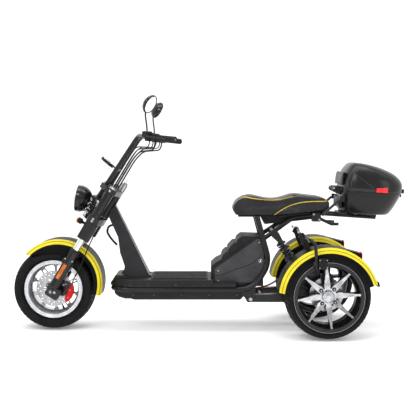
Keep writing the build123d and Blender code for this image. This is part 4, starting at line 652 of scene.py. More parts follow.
# ------------------------------------------------------------------ tyres
def groove(y, turn, blocks, half):
    """How deep the tread is cut at a place, from 0 to 1."""
    def cut(distance, width):
        return max(0.0, min(1.0, (width - abs(distance)) / (width * 0.45)))

    off = abs(y)
    depth = max(cut(off - 0.018, 0.0032), cut(off - 0.052, 0.003) if off < 0.08 else 0.0)
    phase = turn * blocks / TAU
    if off > 0.056:
        slot = (phase + (off - 0.056) * 9.0 + (0.5 if y > 0 else 0.0)) % 1.0 - 0.5
        depth = max(depth, cut(slot * 0.03, 0.0036) if off < half - 0.001 else 0.0)
    elif off > 0.021:
        slot = (phase * 0.5 + off * 14.0 + (0.25 if y > 0 else 0.0)) % 1.0 - 0.5
        depth = max(depth, cut(slot * 0.055, 0.0026))
    return depth


def treaded_tyre(name, node, middle, bead, rim_width, body, blocks=52):
    """A tyre with cut tread, ridged sidewalls and the CAD tyre's own section."""
    rim_wall, seat_gap, per_block, tread_depth = 0.0053, 0.0003, 7, 0.0046
    low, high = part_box(node)
    outer, half = (high.z - low.z) / 2, (high.y - low.y) / 2
    heel = rim_width / 2 - rim_wall
    bead += seat_gap
    belly = outer * 0.52 + bead * 0.48
    shoulder, edge = outer - 0.013, half - 0.013
    crown = arc_through((shoulder, edge), (outer, 0.0), (shoulder, -edge), 64)
    wall = arc_through((bead + 0.022, heel), (belly, half), (shoulder, edge), 16)
    profile = [(bead, heel - 0.015), (bead, heel)] + wall[:-1] + crown
    profile += [(r, -y) for r, y in wall[::-1][1:]] + [(bead, -heel), (bead, -heel + 0.015)]
    skin_count = len(profile)
    profile += [(shoulder - 0.016, 0.015 - edge), (outer - 0.018, 0.0), (shoulder - 0.016, edge - 0.015)]
    count, steps = len(profile), blocks * per_block
    tread_from = shoulder - 0.01
    verts, faces = [], []
    for i in range(steps):
        turn = i * TAU / steps
        for k, (r, y) in enumerate(profile):
            if k < skin_count and r > tread_from:
                fade = min(1.0, (r - tread_from) / 0.008)
                r -= tread_depth * fade * groove(y, turn, blocks, half)
            elif k < skin_count and r > bead + 0.024:
                ridge = abs((r - bead) % 0.011 - 0.0055)
                y += math.copysign(0.0007 if ridge > 0.0042 else 0.0, y)
                y = math.copysign(min(abs(y), half), y)
            verts.append((middle.x + r * math.cos(turn), middle.y + y, middle.z + r * math.sin(turn)))
        j = (i + 1) % steps
        for k in range(count):
            m = (k + 1) % count
            faces.append((i * count + k, i * count + m, j * count + m, j * count + k))
    mesh = bpy.data.meshes.new(name)
    mesh.from_pydata(verts, [], faces)
    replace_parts(placed(name, mesh, TYRE, body, 32), node)


treaded_tyre("front_tyre_tread", "front_tyre", FRONT, 0.1525, 0.172, "front_wheel")
for sign, name in NAMED_SIDES:
    treaded_tyre(
        f"rear_tyre_tread_{name}", f"rear_tyre_{name}", REAR[sign], 0.178, 0.19, f"rear_wheel_{name}")


# ------------------------------------------------------------------ wheels
def front_wheel_details():
    """Disc bolts, spoke nuts, disc carrier, valve, rim beads and hub seals."""
    bolts = begin("front_wheel_fastenings", STEEL, "front_wheel", "steel")
    carrier = begin("disc_carrier", GLOSS_BLACK, "front_wheel", "gloss_black")
    valve = begin("front_valve", RUBBER, "front_wheel", "rubber")
    beads = begin("front_rim_beads", FRONT_RIM, "front_wheel", "bright_rim")
    seals = begin("front_hub_seals", RUBBER, "front_wheel", "rubber")
    for i in range(6):
        socket_bolt(bolts, polar(FRONT, 0.043, i * 60 + 30, 0.0662), Y, 0.008, 0.003)
    for side in SIDES:
        for k in range(10):
            for lean in (-15.2, 15.2):
                at = polar(FRONT, 0.1325, k * 36 + lean, side * 0.015)
                stack(bolts, at, FRONT - at, [(-0.002, 0.0052), (0.008, 0.0046), (0.01, 0.0034)], 8)
        for radius in (0.1668, 0.1585):
            hoop(beads, FRONT + Y * side * 0.0852, Y, radius, 0.0011, 96)
        seal = [(-0.001, 0.0285), (0.0016, 0.0285), (0.0022, 0.0262), (0.0022, 0.0135)]
        stack(seals, FRONT + Y * side * 0.0782, Y * side, seal, 40)
    wavy = [(0.0455 + 0.0065 * math.cos(math.radians(6 * (a - 30))), a) for a in range(0, 360, 4)]
    slab(carrier, [polar(FRONT, radius, a, 0.064) for radius, a in wavy], Y, 0.0022, 0.0006)
    stem = polar(FRONT, 0.133, 248, 0.03)
    stack(valve, stem, FRONT - stem,
          [(-0.004, 0.0062), (0.008, 0.0055), (0.024, 0.0042), (0.036, 0.0042), (0.037, 0.003)], 14)


def rear_wheel_details(sign, name):
    """Wheel nuts in their cups, centre cap and valve."""
    body = f"rear_wheel_{name}"
    cups = begin(f"rear_nut_cups_{name}", BLACK_FRAME, body, "black_frame")
    nuts = begin(f"rear_wheel_nuts_{name}", STEEL, body, "steel")
    cap = begin(f"rear_cap_{name}", STAR, body, "machined")
    valve = begin(f"rear_valve_{name}", RUBBER, body, "rubber")
    out, hub = Y * sign, REAR[sign]
    for k in range(4):
        at = polar(hub, 0.0508, 40 + k * 90, sign * 0.0425)
        stack(cups, at, out, [(0.0, 0.0118), (0.0022, 0.0118), (0.0028, 0.0104), (0.0028, 0.007)], 24)
        hex_bolt(nuts, at, out, 0.01, 0.0085, False)
    hoop(cap, hub + out * 0.0505, Y, 0.0345, 0.0012, 48, 8)
    stack(cap, hub + out * 0.0585, out, [(0.0, 0.014), (0.0012, 0.014), (0.0016, 0.012)], 32)
    stem = polar(hub, 0.1585, 22, sign * 0.05)
    stack(valve, stem, hub + out * 0.05 - stem,
          [(-0.004, 0.0062), (0.008, 0.0055), (0.024, 0.0042), (0.034, 0.0042)], 14)


def rear_wheels():
    for sign, name in NAMED_SIDES:
        rear_wheel_details(sign, name)


build(front_wheel_details, rear_wheels)


# ------------------------------------------------------------------ front end
FORK_HALF = 0.148
CALIPER_TURN = 196.5
CALIPER_LOW, CALIPER_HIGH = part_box("front_caliper")


def fork_details():
    """Bolts of legs, clamps and guards, and the dust seals."""
    bolts = begin("fork_fastenings", STEEL, "steering", "steel")
    seals = begin("fork_seals", RUBBER, "steering", "rubber")
    for side in SIDES:
        out = Y * side
        for n, s, size in ((-0.0205, 0.0055, 0.01), (0.03, 0.002, 0.008)):
            hex_bolt(bolts, fork(n, side * (FORK_HALF + 0.0232), s), out, size, 0.005)
        for n, s in ((-0.018, 0.212), (0.024, 0.206)):
            socket_bolt(bolts, fork(n, side * (FORK_HALF + 0.0278 - abs(n) * 0.35), s), out, 0.01, 0.004)
        for s in (0.47, 0.484, 0.67):
            hex_bolt(bolts, fork(0.002, side * 0.178, s), out, 0.01, 0.005)
        stack(bolts, fork(0, side * FORK_HALF, 0.689), UP,
              [(-0.002, 0.0175), (0.0045, 0.0175), (0.0065, 0.015), (0.0065, 0.008), (0.004, 0.0076)], 28)
        for n in (0.026, -0.026):
            socket_bolt(bolts, fork(0.046 + n * 0.5, side * 0.092 + n, 0.6852), UP, 0.009, 0.004)
        stack(seals, fork(0, side * FORK_HALF, 0.264), UP,
              [(-0.004, 0.0305), (0.004, 0.0305), (0.008, 0.027), (0.0135, 0.0242), (0.0135, 0.0196)], 32)
        for k in range(3):
            hoop(seals, fork(0, side * FORK_HALF, 0.512 + k * 0.006), UP, 0.0274, 0.0012, 36)
    stack(bolts, fork(-0.03, 0, 0.6845), UP, [(0.0, 0.012), (0.001, 0.012)], 6)


def caliper_details():
    """Brake caliper with its bridge, and its bolts."""
    bolts = begin("caliper_bolts", STEEL, "steering", "steel")
    body = begin("caliper_body", RED_PAINT, "steering", "red_caliper", stands_for="front_caliper")
    for x, z, size in ((-0.061, 0.025, 0.01), (-0.028, -0.005, 0.009), (-0.076, 0.03, 0.007)):
        hex_bolt(bolts, FRONT + Vector((x, 0.0925, z)), Y, size, 0.004, False)
    for turn in (-13, 14):
        socket_bolt(bolts, polar(FRONT, 0.097, CALIPER_TURN + turn, CALIPER_HIGH.y - 0.0005), Y, 0.007, 0.003)
    hex_bolt(bolts, Vector((FRONT.x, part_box("front_axle")[1].y, FRONT.z)), Y, 0.011, 0.004, False)

    def arc(y, reach, droop, span, power, way, step=3):
        """A curved edge of the caliper, from one end of its span to the other."""
        turns = range(-way * span, way * (span + 1), way * step)
        return [polar(FRONT, reach + droop * abs(t / span) ** power, CALIPER_TURN + t, y) for t in turns]

    outline = arc(CALIPER_LOW.y, 0.1155, -0.01, 33, 3, 1) + arc(CALIPER_LOW.y, 0.0765, 0.012, 27, 4, -1)
    slab(body, outline, Y, CALIPER_HIGH.y - CALIPER_LOW.y - 0.004, 0.004)
    face = CALIPER_HIGH.y - 0.005
    crest = arc(face, 0.11, -0.006, 22, 3, 1, 2)
    crest += [polar(FRONT, 0.084, CALIPER_TURN + t, face) for t in range(20, -21, -2)]
    slab(body, crest, Y, 0.005, 0.002)


def reflector_frames():
    """Rims round the amber reflectors on the legs."""
    bm = begin("reflector_frames", SLIDER, "steering", "black_frame")
    for side in SIDES:
        y = side * (FORK_HALF + 0.0328)
        outline = [fork(0.006 + n, y, 0.132 + s) for n, s in rounded_outline(0.0115, 0.048, 0.006)]
        pipe(bm, outline, 0.0012, 6, closed=True)


LIGHT_AT = Vector((0.775, 0, 0.764))
LIGHT_OUT = heading(9)


def headlight_details():
    """Reflector bowl, projectors, bezel, cooling fins and bracket bolts."""
    bowl_sheet = begin("headlight_reflector", CHROME, "steering", "chrome")
    projectors = begin("headlight_projectors", CLEAR, "steering", "clear_lens")
    bezel = begin("headlight_bezel", GLOSS_BLACK, "steering", "gloss_black")
    fins = begin("headlight_fins", GLOSS_BLACK, "steering", "gloss_black")
    bolts = begin("bracket_bolts", STEEL, "steering", "steel")
    bowl = [(-0.004, 0.0705), (-0.018, 0.067), (-0.034, 0.058), (-0.05, 0.042), (-0.06, 0.022),
            (-0.063, 0.01)]
    back = [(h - 0.0015, r) for h, r in bowl[::-1]]
    loops = stack(bowl_sheet, LIGHT_AT, LIGHT_OUT, bowl + back, 64, capped=False)
    bridge(bowl_sheet, loops[-1], loops[0])
    stack(projectors, LIGHT_AT, LIGHT_OUT,
          [(-0.062, 0.0105), (-0.04, 0.0105), (-0.034, 0.017), (-0.022, 0.0175), (-0.018, 0.014)], 32)
    for at in circle(LIGHT_AT + LIGHT_OUT * -0.03, LIGHT_OUT, 0.046, 10):
        stack(projectors, at, LIGHT_OUT,
              [(-0.012, 0.0085), (0.0, 0.0085), (0.003, 0.0065), (0.0045, 0.003)], 16)
    hoop(bezel, LIGHT_AT + LIGHT_OUT * 0.0005, LIGHT_OUT, 0.0755, 0.0022, 72, 10)
    for k in range(5):
        hoop(fins, LIGHT_AT - LIGHT_OUT * (0.02 + 0.006 * k), LIGHT_OUT, 0.0782 - 0.0006 * k * k, 0.0011, 72)
    for side in SIDES:
        for n, s in ((0.06, 0.48), (0.082, 0.56)):
            hex_bolt(bolts, fork(n, side * 0.032, s), Y * side, 0.01, 0.005)


def wire_cluster():
    """Short wires with crimped bright ends between the lamp and the clamps."""
    rng = random.Random(7)
    wires = begin("lamp_wires", CABLE, "steering", "rubber")
    ends = begin("wire_crimps", CHROME, "steering", "steel")
    steps = 16
    for k in range(17):
        y = -0.112 + k * 0.014
        start = fork(0.04, y, 0.524)
        end = fork(0.05 + rng.uniform(0.0, 0.012), y * 0.85, 0.598)
        bow = fork(
            0.098 + rng.uniform(-0.012, 0.022), y + rng.uniform(-0.01, 0.01), rng.uniform(0.33, 0.5))
        shares = [i / steps for i in range(steps + 1)]
        points = [start * (1 - t) ** 2 + bow * 2 * t * (1 - t) + end * t * t for t in shares]
        pipe(wires, points, 0.0021, 7)
        for spot in (4 + k % 2, 9 + k % 3, 13):
            stack(ends, points[spot], points[spot + 1] - points[spot - 1],
                  [(-0.004, 0.0034), (0.004, 0.0034), (0.005, 0.0024)], 10)


def dash_details():
    """Generic dial: glass, ring, plain ticks and a needle, with no figures."""
    out, along = heading(41 + 90), heading(41)
    face = Vector((0.594, 0, 0.975)) + out * 0.0092
    lifted = face + out * 0.0008
    glass = begin("dial_glass", DIAL, "steering", "gloss_black")
    ring = begin("dial_ring", CHROME, "steering", "chrome")
    marks = begin("dial_marks", YELLOW_PRINT, "steering", "bright_rim")
    stack(glass, face, out, [(-0.0005, 0.0385), (0.0006, 0.0385), (0.001, 0.0372)], 64)
    hoop(ring, face, out, 0.04, 0.0017, 72, 8)
    for k in range(25):
        a = math.radians(-120 + k * 10)
        spoke = along * math.cos(a) + Y * math.sin(a)
        across = out.cross(spoke)
        near, wide = (0.0285, 0.0008) if k % 3 == 0 else (0.0315, 0.0005)
        ends = ((near, 1), (0.0345, 1), (0.0345, -1), (near, -1))
        slab(marks, [lifted + spoke * reach + across * wide * way for reach, way in ends], out, 0.0005)
    needle = along * math.cos(0.9) - Y * math.sin(0.9)
    across = out.cross(needle) * 0.0013
    tail, tip = lifted - needle * 0.006, lifted + needle * 0.0265
    slab(marks, [tail + across, tip, tail - across], out, 0.0008)
    stack(marks, lifted, out, [(0.0, 0.0034), (0.0014, 0.0032), (0.0018, 0.002)], 20)


BAR_END = Vector((0.186, 0.41, 1.1))
BAR_SWEEP = Vector((0.352, 0.262, 1.118))


def mirrored(v, side):
    """A left-hand vector as it is on either side."""
    return Vector((v.x, side * v.y, v.z))


def bar_axis(side):
    """End of the bar and the outward direction of the bar on one side."""
    return mirrored(BAR_END, side), mirrored((BAR_END - BAR_SWEEP).normalized(), side)


def ribbed_grips():
    """Grips with a flange and ribs, and the plugs in their ends."""
    grips = begin("ribbed_grips", RUBBER, "steering", "rubber", 50, "grips")
    plugs = begin("bar_end_plugs", STEEL, "steering", "steel")
    rings = [(-0.128, 0.0218), (-0.1235, 0.0218), (-0.1225, 0.0168)]
    for k in range(19):
        rib = -0.118 + k * 0.0058
        rings += [(rib, 0.0162), (rib + 0.0008, 0.0172), (rib + 0.0036, 0.0172), (rib + 0.0044, 0.0162)]
    rings += [(-0.006, 0.0166), (0.0, 0.0174), (0.0045, 0.017), (0.006, 0.0145)]
    for side in SIDES:
        end, out = bar_axis(side)
        stack(grips, end, out, rings, 40)
        stack(plugs, end + out * 0.0055, out, [(0.0, 0.0118), (0.0004, 0.0122), (0.0005, 0.006)], 24)


def control_details():
    """Screws and caps of the brake reservoirs, and the switch buttons."""
    caps = begin("reservoir_caps", GLOSS_BLACK, "steering", "matte_black")
    screws = begin("control_screws", STEEL, "steering", "steel")
    buttons = begin("switch_buttons", RED_PAINT, "steering", "red_caliper")
    for side in SIDES:
        end, out = bar_axis(side)
        up = (Z - out * out.z).normalized()
        ahead = up.cross(out) * -side
        hub = end - out * 0.186 + up * 0.0312
        for dx, dy in ((-0.0108, 0.01), (0.0108, 0.01), (-0.0108, 0.034), (0.0108, 0.034)):
            socket_bolt(screws, hub + out * dx + ahead * dy, up, 0.006, 0.0025)
        corners = [hub + out * a * 0.0165 + ahead * (0.022 + b * 0.0155) for a, b in SQUARE]
        slab(caps, corners, up, 0.0018, 0.001)
        for dx, high in ((-0.16, 0.008), (-0.148, -0.004)):
            at = end + out * dx - ahead * 0.0205 + up * high
            stack(buttons, at, -ahead, [(-0.002, 0.0062), (0.0022, 0.0062), (0.0034, 0.005)], 18)
        at = end + out * -0.152 - ahead * 0.02 - up * 0.012
        stack(caps, at, -ahead, [(-0.002, 0.0075), (0.0025, 0.0075), (0.004, 0.006)], 18)


def mirror_details():
    """Mirror glasses and their rims."""
    turn = tip = math.radians(28)
    looks = Vector((-math.cos(turn) * math.cos(tip), math.sin(turn) * math.cos(tip), -math.sin(tip)))
    glass = begin("mirror_glasses", MIRROR, "steering", "chrome")
    rim = begin("mirror_rims", GLOSS_BLACK, "steering", "gloss_black")
    for side in SIDES:
        at, out = Vector((0.318, side * 0.33, 1.291)), mirrored(looks, side)
        stack(glass, at, out,
              [(-0.0004, 0.0466), (0.0005, 0.0466), (0.001, 0.034), (0.0013, 0.018), (0.0014, 0.004)], 64)
        hoop(rim, at + out * 0.0002, out, 0.0492, 0.0032, 72, 10)


def fender_trim():
    """Bolts that hold the front fender between the legs."""
    bm = begin("fender_bolts", STEEL, "steering", "steel")
    for side in SIDES:
        for n, s in ((-0.02, 0.22), (0.022, 0.214)):
            socket_bolt(bm, fork(n, side * 0.1183, s), Y * side, 0.009, 0.003)


build(fork_details, caliper_details, reflector_frames, headlight_details, wire_cluster, dash_details,
      ribbed_grips, control_details, mirror_details, fender_trim)


# ------------------------------------------------------------------ deck and frame
def deck_details():
    """Ribs of the mat and the tray, lines along the deck's sides, and the bolts."""
    ribs = begin("deck_mat_ribs", RUBBER, "chassis", "rubber")
    bolts = begin("deck_bolts", DARK_BOLTS, "chassis", "steel")
    lines = begin("deck_side_lines", DECK_PLASTIC, "chassis", "matte_black")
    tray = begin("tray_ribs", DECK_PLASTIC, "chassis", "black_frame")
    low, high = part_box("deck_mat")
    count, rib_half = 27, 0.0026
    for k in range(count):
        y = low.y + 0.014 + k * (high.y - low.y - 0.028) / (count - 1)
        inset = 0.022 if k in (0, count - 1) else 0.012
        middle, half = (low.x + high.x) / 2, (high.x - low.x) / 2 - inset
        corners = [(middle + a * half, y + b * rib_half, high.z - 0.0005) for a, b in SQUARE]
        slab(ribs, corners, Z, 0.0022, 0.001)
    deck_low, deck_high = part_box("deck_plate")
    tray_low, tray_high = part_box("battery_tray")
    for side in SIDES:
        for x in (-0.13, 0.03, 0.19, 0.35, 0.45):
            at = (x, side * (deck_high.y - 0.0004), deck_low.z + 0.014)
            socket_bolt(bolts, at, Y * side, 0.007, 0.002)
        for x in (-0.16, 0.0, 0.16, 0.32, 0.44):
            socket_bolt(bolts, (x, side * (tray_high.y - 0.0002), 0.213), Y * side, 0.009, 0.003)
        y = side * (deck_high.y - 0.0006)
        for z in (deck_low.z + 0.006, deck_low.z + 0.026):
            pipe(lines, [(-0.15, y, z), (0.462, y, z)], 0.0016, 6)
    for x in (0.352, 0.5):
        for y in (-0.048, 0.048):
            hex_bolt(bolts, (x, y, 0.3145), Z, 0.01, 0.005)
    for x in (-0.12, 0.06, 0.24, 0.4):
        slab(tray, [(x + a * 0.04, b * 0.088, tray_low.z) for a, b in SQUARE], -Z, 0.0022, 0.0015)


def tray_nose():
    """Belly of the moulded nose below the front of the deck."""
    bm = begin("tray_nose_cover", DECK_PLASTIC, "chassis", "matte_black")
    outline = [(0.43, 0.187), (0.486, 0.187), (0.52, 0.197), (0.541, 0.212), (0.549, 0.229), (0.494, 0.231),
               (0.44, 0.231)]
    slab(bm, [(x, -0.118, z) for x, z in outline], Y, 0.236, 0.006)


def chassis_bolts():
    """Bolts of swingarm, shocks, fender stays, seat frame and rack."""
    bm = begin("chassis_fastenings", STEEL, "chassis", "steel")
    shock_y = 0.1362
    for side in SIDES:
        out = Y * side
        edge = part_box("swingarm_pivot")[1 if side > 0 else 0].y
        stack(bm, (-0.237, edge - side * 0.0005, 0.192), out,
              [(0.0, 0.0085), (0.0016, 0.0085), (0.002, 0.006)], 20)
        for x, z in ((-0.405, 0.531), (REAR[1].x + 0.111, 0.29)):
            hex_bolt(bm, (x, side * shock_y, z), out, 0.014, 0.006)
        for x in (-0.633, -0.594):
            for z in (0.412, 0.454):
                socket_bolt(bm, (x, side * 0.4429, z), out, 0.006, 0.002)
        for x, z in ((-0.508, 0.58), (-0.571, 0.48), (-0.54, 0.56)):
            hex_bolt(bm, (x, side * 0.171, z), -out, 0.01, 0.004)
        for x, z in ((-0.634, 0.644), (-0.602, 0.676)):
            hex_bolt(bm, (x, side * 0.106, z), out, 0.009, 0.004)


def footrest(side):
    """Arm of a passenger footrest: plate inside the fender, bent tube over it, stop and clamp."""
    bm = bmesh.new()
    x, z, post, foot_z = REAR[side].x, REAR[side].z, side * 0.424, 0.4
    inner = side * (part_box("rear_fender_left")[0].y - 0.0033)
    outline = [(0.15, 0.31), (0.14, 0.336), (0.122, 0.338), (0.098, 0.306), (0.084, 0.252), (0.09, 0.228),
               (0.108, 0.226), (0.126, 0.268), (0.138, 0.3)]
    slab(bm, [(x + a, inner - side * 0.003, z + b) for a, b in outline], Y * side, 0.006, 0.001)
    bends = [(0.112, inner, 0.552), (0.112, side * 0.235, 0.556), (0.11, side * 0.33, 0.556),
             (0.104, side * 0.392, 0.555), (0.09, side * 0.416, 0.545), (0.083, post, 0.52),
             (0.079, post, 0.46), (0.076, post, foot_z)]
    pipe(bm, smooth_run([(x + a, y, high) for a, y, high in bends], 6), 0.009, 14)
    stack(bm, (x + 0.076, post, foot_z), -Z, [(-0.004, 0.0098), (0.002, 0.0098), (0.004, 0.0078)], 18)
    pipe(bm, [(x + 0.066, post + side * 0.006, foot_z + lift) for lift in (0.002, -0.022)], 0.003, 8)
    clamp = [(x + 0.083 + a * 0.013, post - side * 0.006, 0.432 + b * 0.012) for a, b in SQUARE]
    slab(bm, clamp, Y * side, 0.012, 0.001)
    return bm


def footrest_block(side):
    """Ribbed rubber block of a footrest."""
    bm = bmesh.new()
    middle = Vector((REAR[side].x + 0.043, side * 0.426, 0.432))
    outline = rounded_outline(0.023, 0.028, 0.006)
    slab(bm, [middle + Vector((a, side * -0.017, b)) for a, b in outline], Y * side, 0.03, 0.0012)
    for k in range(5):
        rib = middle + Vector((0, side * 0.0125, -0.021 + k * 0.0105))
        slab(bm, [rib + Vector((a * 0.0185, 0, b * 0.0028)) for a, b in SQUARE], Y * side, 0.0035, 0.0008)
    return bm


def footrests():
    """Both arms and both blocks stand for the plain CAD footrests."""
    for maker, finish in ((footrest, BLACK_FRAME), (footrest_block, RUBBER)):
        for side, name in NAMED_SIDES:
            made = piece(f"{maker.__name__}_{name}", maker(side), finish, "chassis", "cast_alloy")
            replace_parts(made, "rear_footrests")


def case_details():
    """Screws, lock rings and vent lines on the battery case's side panels."""
    screws = begin("case_screws", STEEL, "chassis", "steel")
    locks = begin("case_lock_rings", CHROME, "chassis", "steel")
    vents = begin("case_vents", GREY_PANEL_AND_CREASE_HIGHLIGHT, "chassis", "grey_plastic")
    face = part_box("case_panels")[1].y
    for side in SIDES:
        out = Y * side
        for x, z in ((-0.052, 0.352), (-0.288, 0.516), (-0.052, 0.296), (-0.285, 0.3)):
            socket_bolt(screws, (x, side * (face - 0.0028), z), out, 0.008, 0.0022)
        at = Vector((-0.294, side * (face - 0.0001), 0.41))
        hoop(locks, at, Y, 0.0105, 0.001, 32, 8)
        stack(locks, at - out * 0.0022, out, [(0.0, 0.0042), (0.0014, 0.004), (0.0016, 0.003)], 20)
        for k in range(7):
            y, z = side * (face - 0.0024), 0.318 + k * 0.009
            pipe(vents, [(-0.268, y, z), (-0.213 - k * 0.003, y, z)], 0.0014, 6)


def frame_details():
    """Head races, and the weld along the foot of the down tube."""
    races = begin("head_races", STEEL, "chassis", "steel")
    weld = begin("foot_weld", GREY_FRAME, "chassis", "grey_frame")
    for s in (0.5015, 0.649):
        hoop(races, fork(-0.03, 0, s), UP, 0.0283, 0.0016, 40, 8)
    for side in SIDES:
        pipe(weld, [(x, side * 0.068, 0.3105) for x in (0.352, 0.505)], 0.0018, 6)


build(deck_details, tray_nose, footrests, chassis_bolts, case_details, frame_details)


# ------------------------------------------------------------------ top box
# Rings of the two halves: height, front, rear and half width in the box's own frame.
BASE_RINGS = [
    (0.0, -0.036, -0.29, 0.146), (0.003, -0.028, -0.3, 0.152), (0.014, -0.022, -0.312, 0.161),
    (0.05, -0.0145, -0.334, 0.177), (0.1, -0.011, -0.358, 0.19), (0.13, -0.01, -0.369, 0.1935)]
LID_RINGS = [
    (0.1303, -0.01, -0.3695, 0.1938), (0.15, -0.01, -0.373, 0.194), (0.18, -0.013, -0.371, 0.191),
    (0.205, -0.017, -0.357, 0.185), (0.228, -0.023, -0.332, 0.176), (0.248, -0.032, -0.296, 0.164),
    (0.265, -0.043, -0.248, 0.149), (0.278, -0.054, -0.198, 0.131), (0.286, -0.066, -0.15, 0.108),
    (0.2895, -0.08, -0.112, 0.078)]
BOX_WALL = 0.0035
HINGE_X, HINGE_Z, HINGE_HALF = 0.028, 0.134, 0.062


def tree_of(obj):
    """The object's surface, for casting rays at."""
    places = [v.co.copy() for v in obj.data.vertices]
    return BVHTree.FromPolygons(places, [tuple(p.vertices) for p in obj.data.polygons])


def drop_on(tree, place, side, lift, beyond=0.4):
    """The point where a ray from beyond one flank meets a surface, lifted off it a little."""
    way = Y * -side
    hit, normal, _, _ = tree.ray_cast(Vector((place[0], side * beyond, place[2])), way)
    if hit is None:
        return None
    return hit + (-normal if normal.dot(way) > 0 else normal) * lift


def box_line(bm, tree, points, side, radius, lift, per=8):
    """A raised line on the box's flank from side-view places in its own frame."""
    places = []
    for (x0, z0), (x1, z1) in zip(points, points[1:]):
        places += [(x0 + (x1 - x0) * i / per, z0 + (z1 - z0) * i / per) for i in range(per)]
    run = [drop_on(tree, on_box(x, 0, z), side, lift) for x, z in places + points[-1:]]
    pipe(bm, [p for p in run if p is not None], radius, 6)


def box_plan(count=96, widest=0.62):
    """Rounded outline of the box seen from above: share of its length and of its half width."""
    run = []
    for i in range(count):
        x, y = math.cos(i * TAU / count), math.sin(i * TAU / count)
        power, reach = (2 / 3.6, 1 - widest) if x > 0 else (2 / 2.5, widest)
        run.append((widest + math.copysign(abs(x) ** power, x) * reach, math.copysign(abs(y) ** power, y)))
    return run


def moulding(rings, wall):
    """A hollow half of the top box: outer skin, rim and an inner skin that lies the wall above or below."""
    outer = smooth_run(rings, 3, held=True)
    low, high = outer[0][0], outer[-1][0]
    inner = [(max(low, min(high, z + wall)), front - BOX_WALL, rear + BOX_WALL, half - BOX_WALL)
             for z, front, rear, half in outer]
    order = outer + inner[::-1] if wall > 0 else outer[::-1] + inner
    bm = bmesh.new()
    loops = skin(bm, [[on_box(rear + (front - rear) * u, half * v, z) for u, v in box_plan()]
                      for z, front, rear, half in order], capped=False)
    bm.faces.new(loops[0])
    bm.faces.new(loops[-1])
    return bm


def box_block(bm, x, z, dx, dy, dz):
    """A block in the middle of the box, with its edges taken off."""
    corners = [on_box(x + a * dx / 2, b * dy / 2, z - dz / 2) for a, b in SQUARE]
    slab(bm, corners, BOX_Z, dz, min(dx, dy, dz) * 0.12)


def box_plate(bm, outline, y, width):
    """A plate across the box from a side-view outline."""
    slab(bm, [on_box(x, y - width / 2, z) for x, z in outline], Y, width, 0.001)


def box_shells():
    """Both moulded halves with their hinge ears, knuckles and latch."""
    base, lid = moulding(BASE_RINGS, BOX_WALL), moulding(LID_RINGS, -BOX_WALL)
    ear = [(-0.015, 0.098), (-0.015, 0.1275), (0.014, 0.1275), (0.022, 0.1445), (0.033, 0.1425),
           (0.0385, 0.134), (0.035, 0.119)]
    knuckle = [(-0.015, 0.1325), (-0.015, 0.1465), (0.026, 0.1455), (0.037, 0.139), (0.037, 0.129),
               (0.028, 0.1235), (0.019, 0.1325)]
    for side in SIDES:
        y = side * HINGE_HALF
        for inner in SIDES:
            box_plate(base, ear, y + inner * 0.013, 0.008)
        stack(base, on_box(HINGE_X, y - 0.0165, HINGE_Z), Y, [(0.0, 0.0038), (0.033, 0.0038)], 20)
        box_plate(lid, knuckle, y, 0.0155)
    box_block(lid, -0.381, 0.141, 0.016, 0.054, 0.024)
    box_block(lid, -0.371, 0.144, 0.016, 0.04, 0.014)
    box_block(base, -0.3665, 0.1155, 0.02, 0.04, 0.018)
    base = piece("topbox_base_shell", base, BOX_PLASTIC, "chassis", "matte_black", 40)
    lid = piece("topbox_lid_shell", lid, BOX_PLASTIC, "topbox_lid", "matte_black", 40)
    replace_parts(base, "topbox_base")
    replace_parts(lid, "topbox_lid")
    return tree_of(base), tree_of(lid)


def box_reflectors(tree):
    """Slanted reflectors that follow the lid's flanks."""
    bm = bmesh.new()
    corners = [Vector(c) for c in ((-0.192, 0.131), (-0.259, 0.131), (-0.194, 0.153), (-0.258, 0.161))]
    across, up = 8, 3
    edge = [(0, i) for i in range(across)] + [(j, across) for j in range(up)]
    edge += [(up, i) for i in range(across, 0, -1)] + [(j, 0) for j in range(up, 0, -1)]
    for side in SIDES:
        grid = []
        for lift in (0.0002, 0.0032):
            rows = []
            for t in (j / up for j in range(up + 1)):
                low, high = (corners[0].lerp(corners[2], t), corners[1].lerp(corners[3], t))
                places = [low.lerp(high, i / across) for i in range(across + 1)]
                rows.append([bm.verts.new(drop_on(tree, on_box(p.x, 0, p.y), side, lift)) for p in places])
            grid.append(rows)
        under, top = grid
        for j in range(up):
            for i in range(across):
                bm.faces.new((top[j][i], top[j][i + 1], top[j + 1][i + 1], top[j + 1][i]))
                bm.faces.new((under[j][i], under[j + 1][i], under[j + 1][i + 1], under[j][i + 1]))
        bridge(bm, [under[j][i] for j, i in edge], [top[j][i] for j, i in edge])
    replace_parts(piece("lid_reflectors", bm, RED_LENS, "topbox_lid", "red_lens", 40), "topbox_reflectors")


# Lines raised on the lid's flank (points, radius, lift), drawn in pale grey as a painted highlight along each
# crease and the lid's rim.
LID_LINES = (
    ([(-0.036, 0.14), (-0.034, 0.18), (-0.05, 0.232), (-0.08, 0.268)], 0.0042, -0.0016),
    ([(-0.052, 0.14), (-0.052, 0.18), (-0.066, 0.226), (-0.092, 0.256)], 0.0024, -0.0008),
    ([(-0.06, 0.252), (-0.092, 0.262), (-0.19, 0.244), (-0.292, 0.206)], 0.003, -0.001),
    ([(-0.066, 0.228), (-0.185, 0.148)], 0.0024, -0.0008),
    ([(-0.056, 0.141), (-0.186, 0.141)], 0.0024, -0.0008),
    ([(-0.018, 0.1335), (-0.18, 0.1335), (-0.3, 0.1335), (-0.35, 0.1335)], 0.0022, -0.0004))
BASE_LINES = (
    ([(-0.018, 0.1262), (-0.18, 0.1262), (-0.3, 0.1262), (-0.35, 0.1262)], 0.0026, -0.0004),
    ([(-0.03, 0.104), (-0.18, 0.104), (-0.3, 0.104)], 0.0012, -0.0002),
    ([(-0.036, 0.012), (-0.034, 0.06), (-0.032, 0.1)], 0.002, -0.0004))


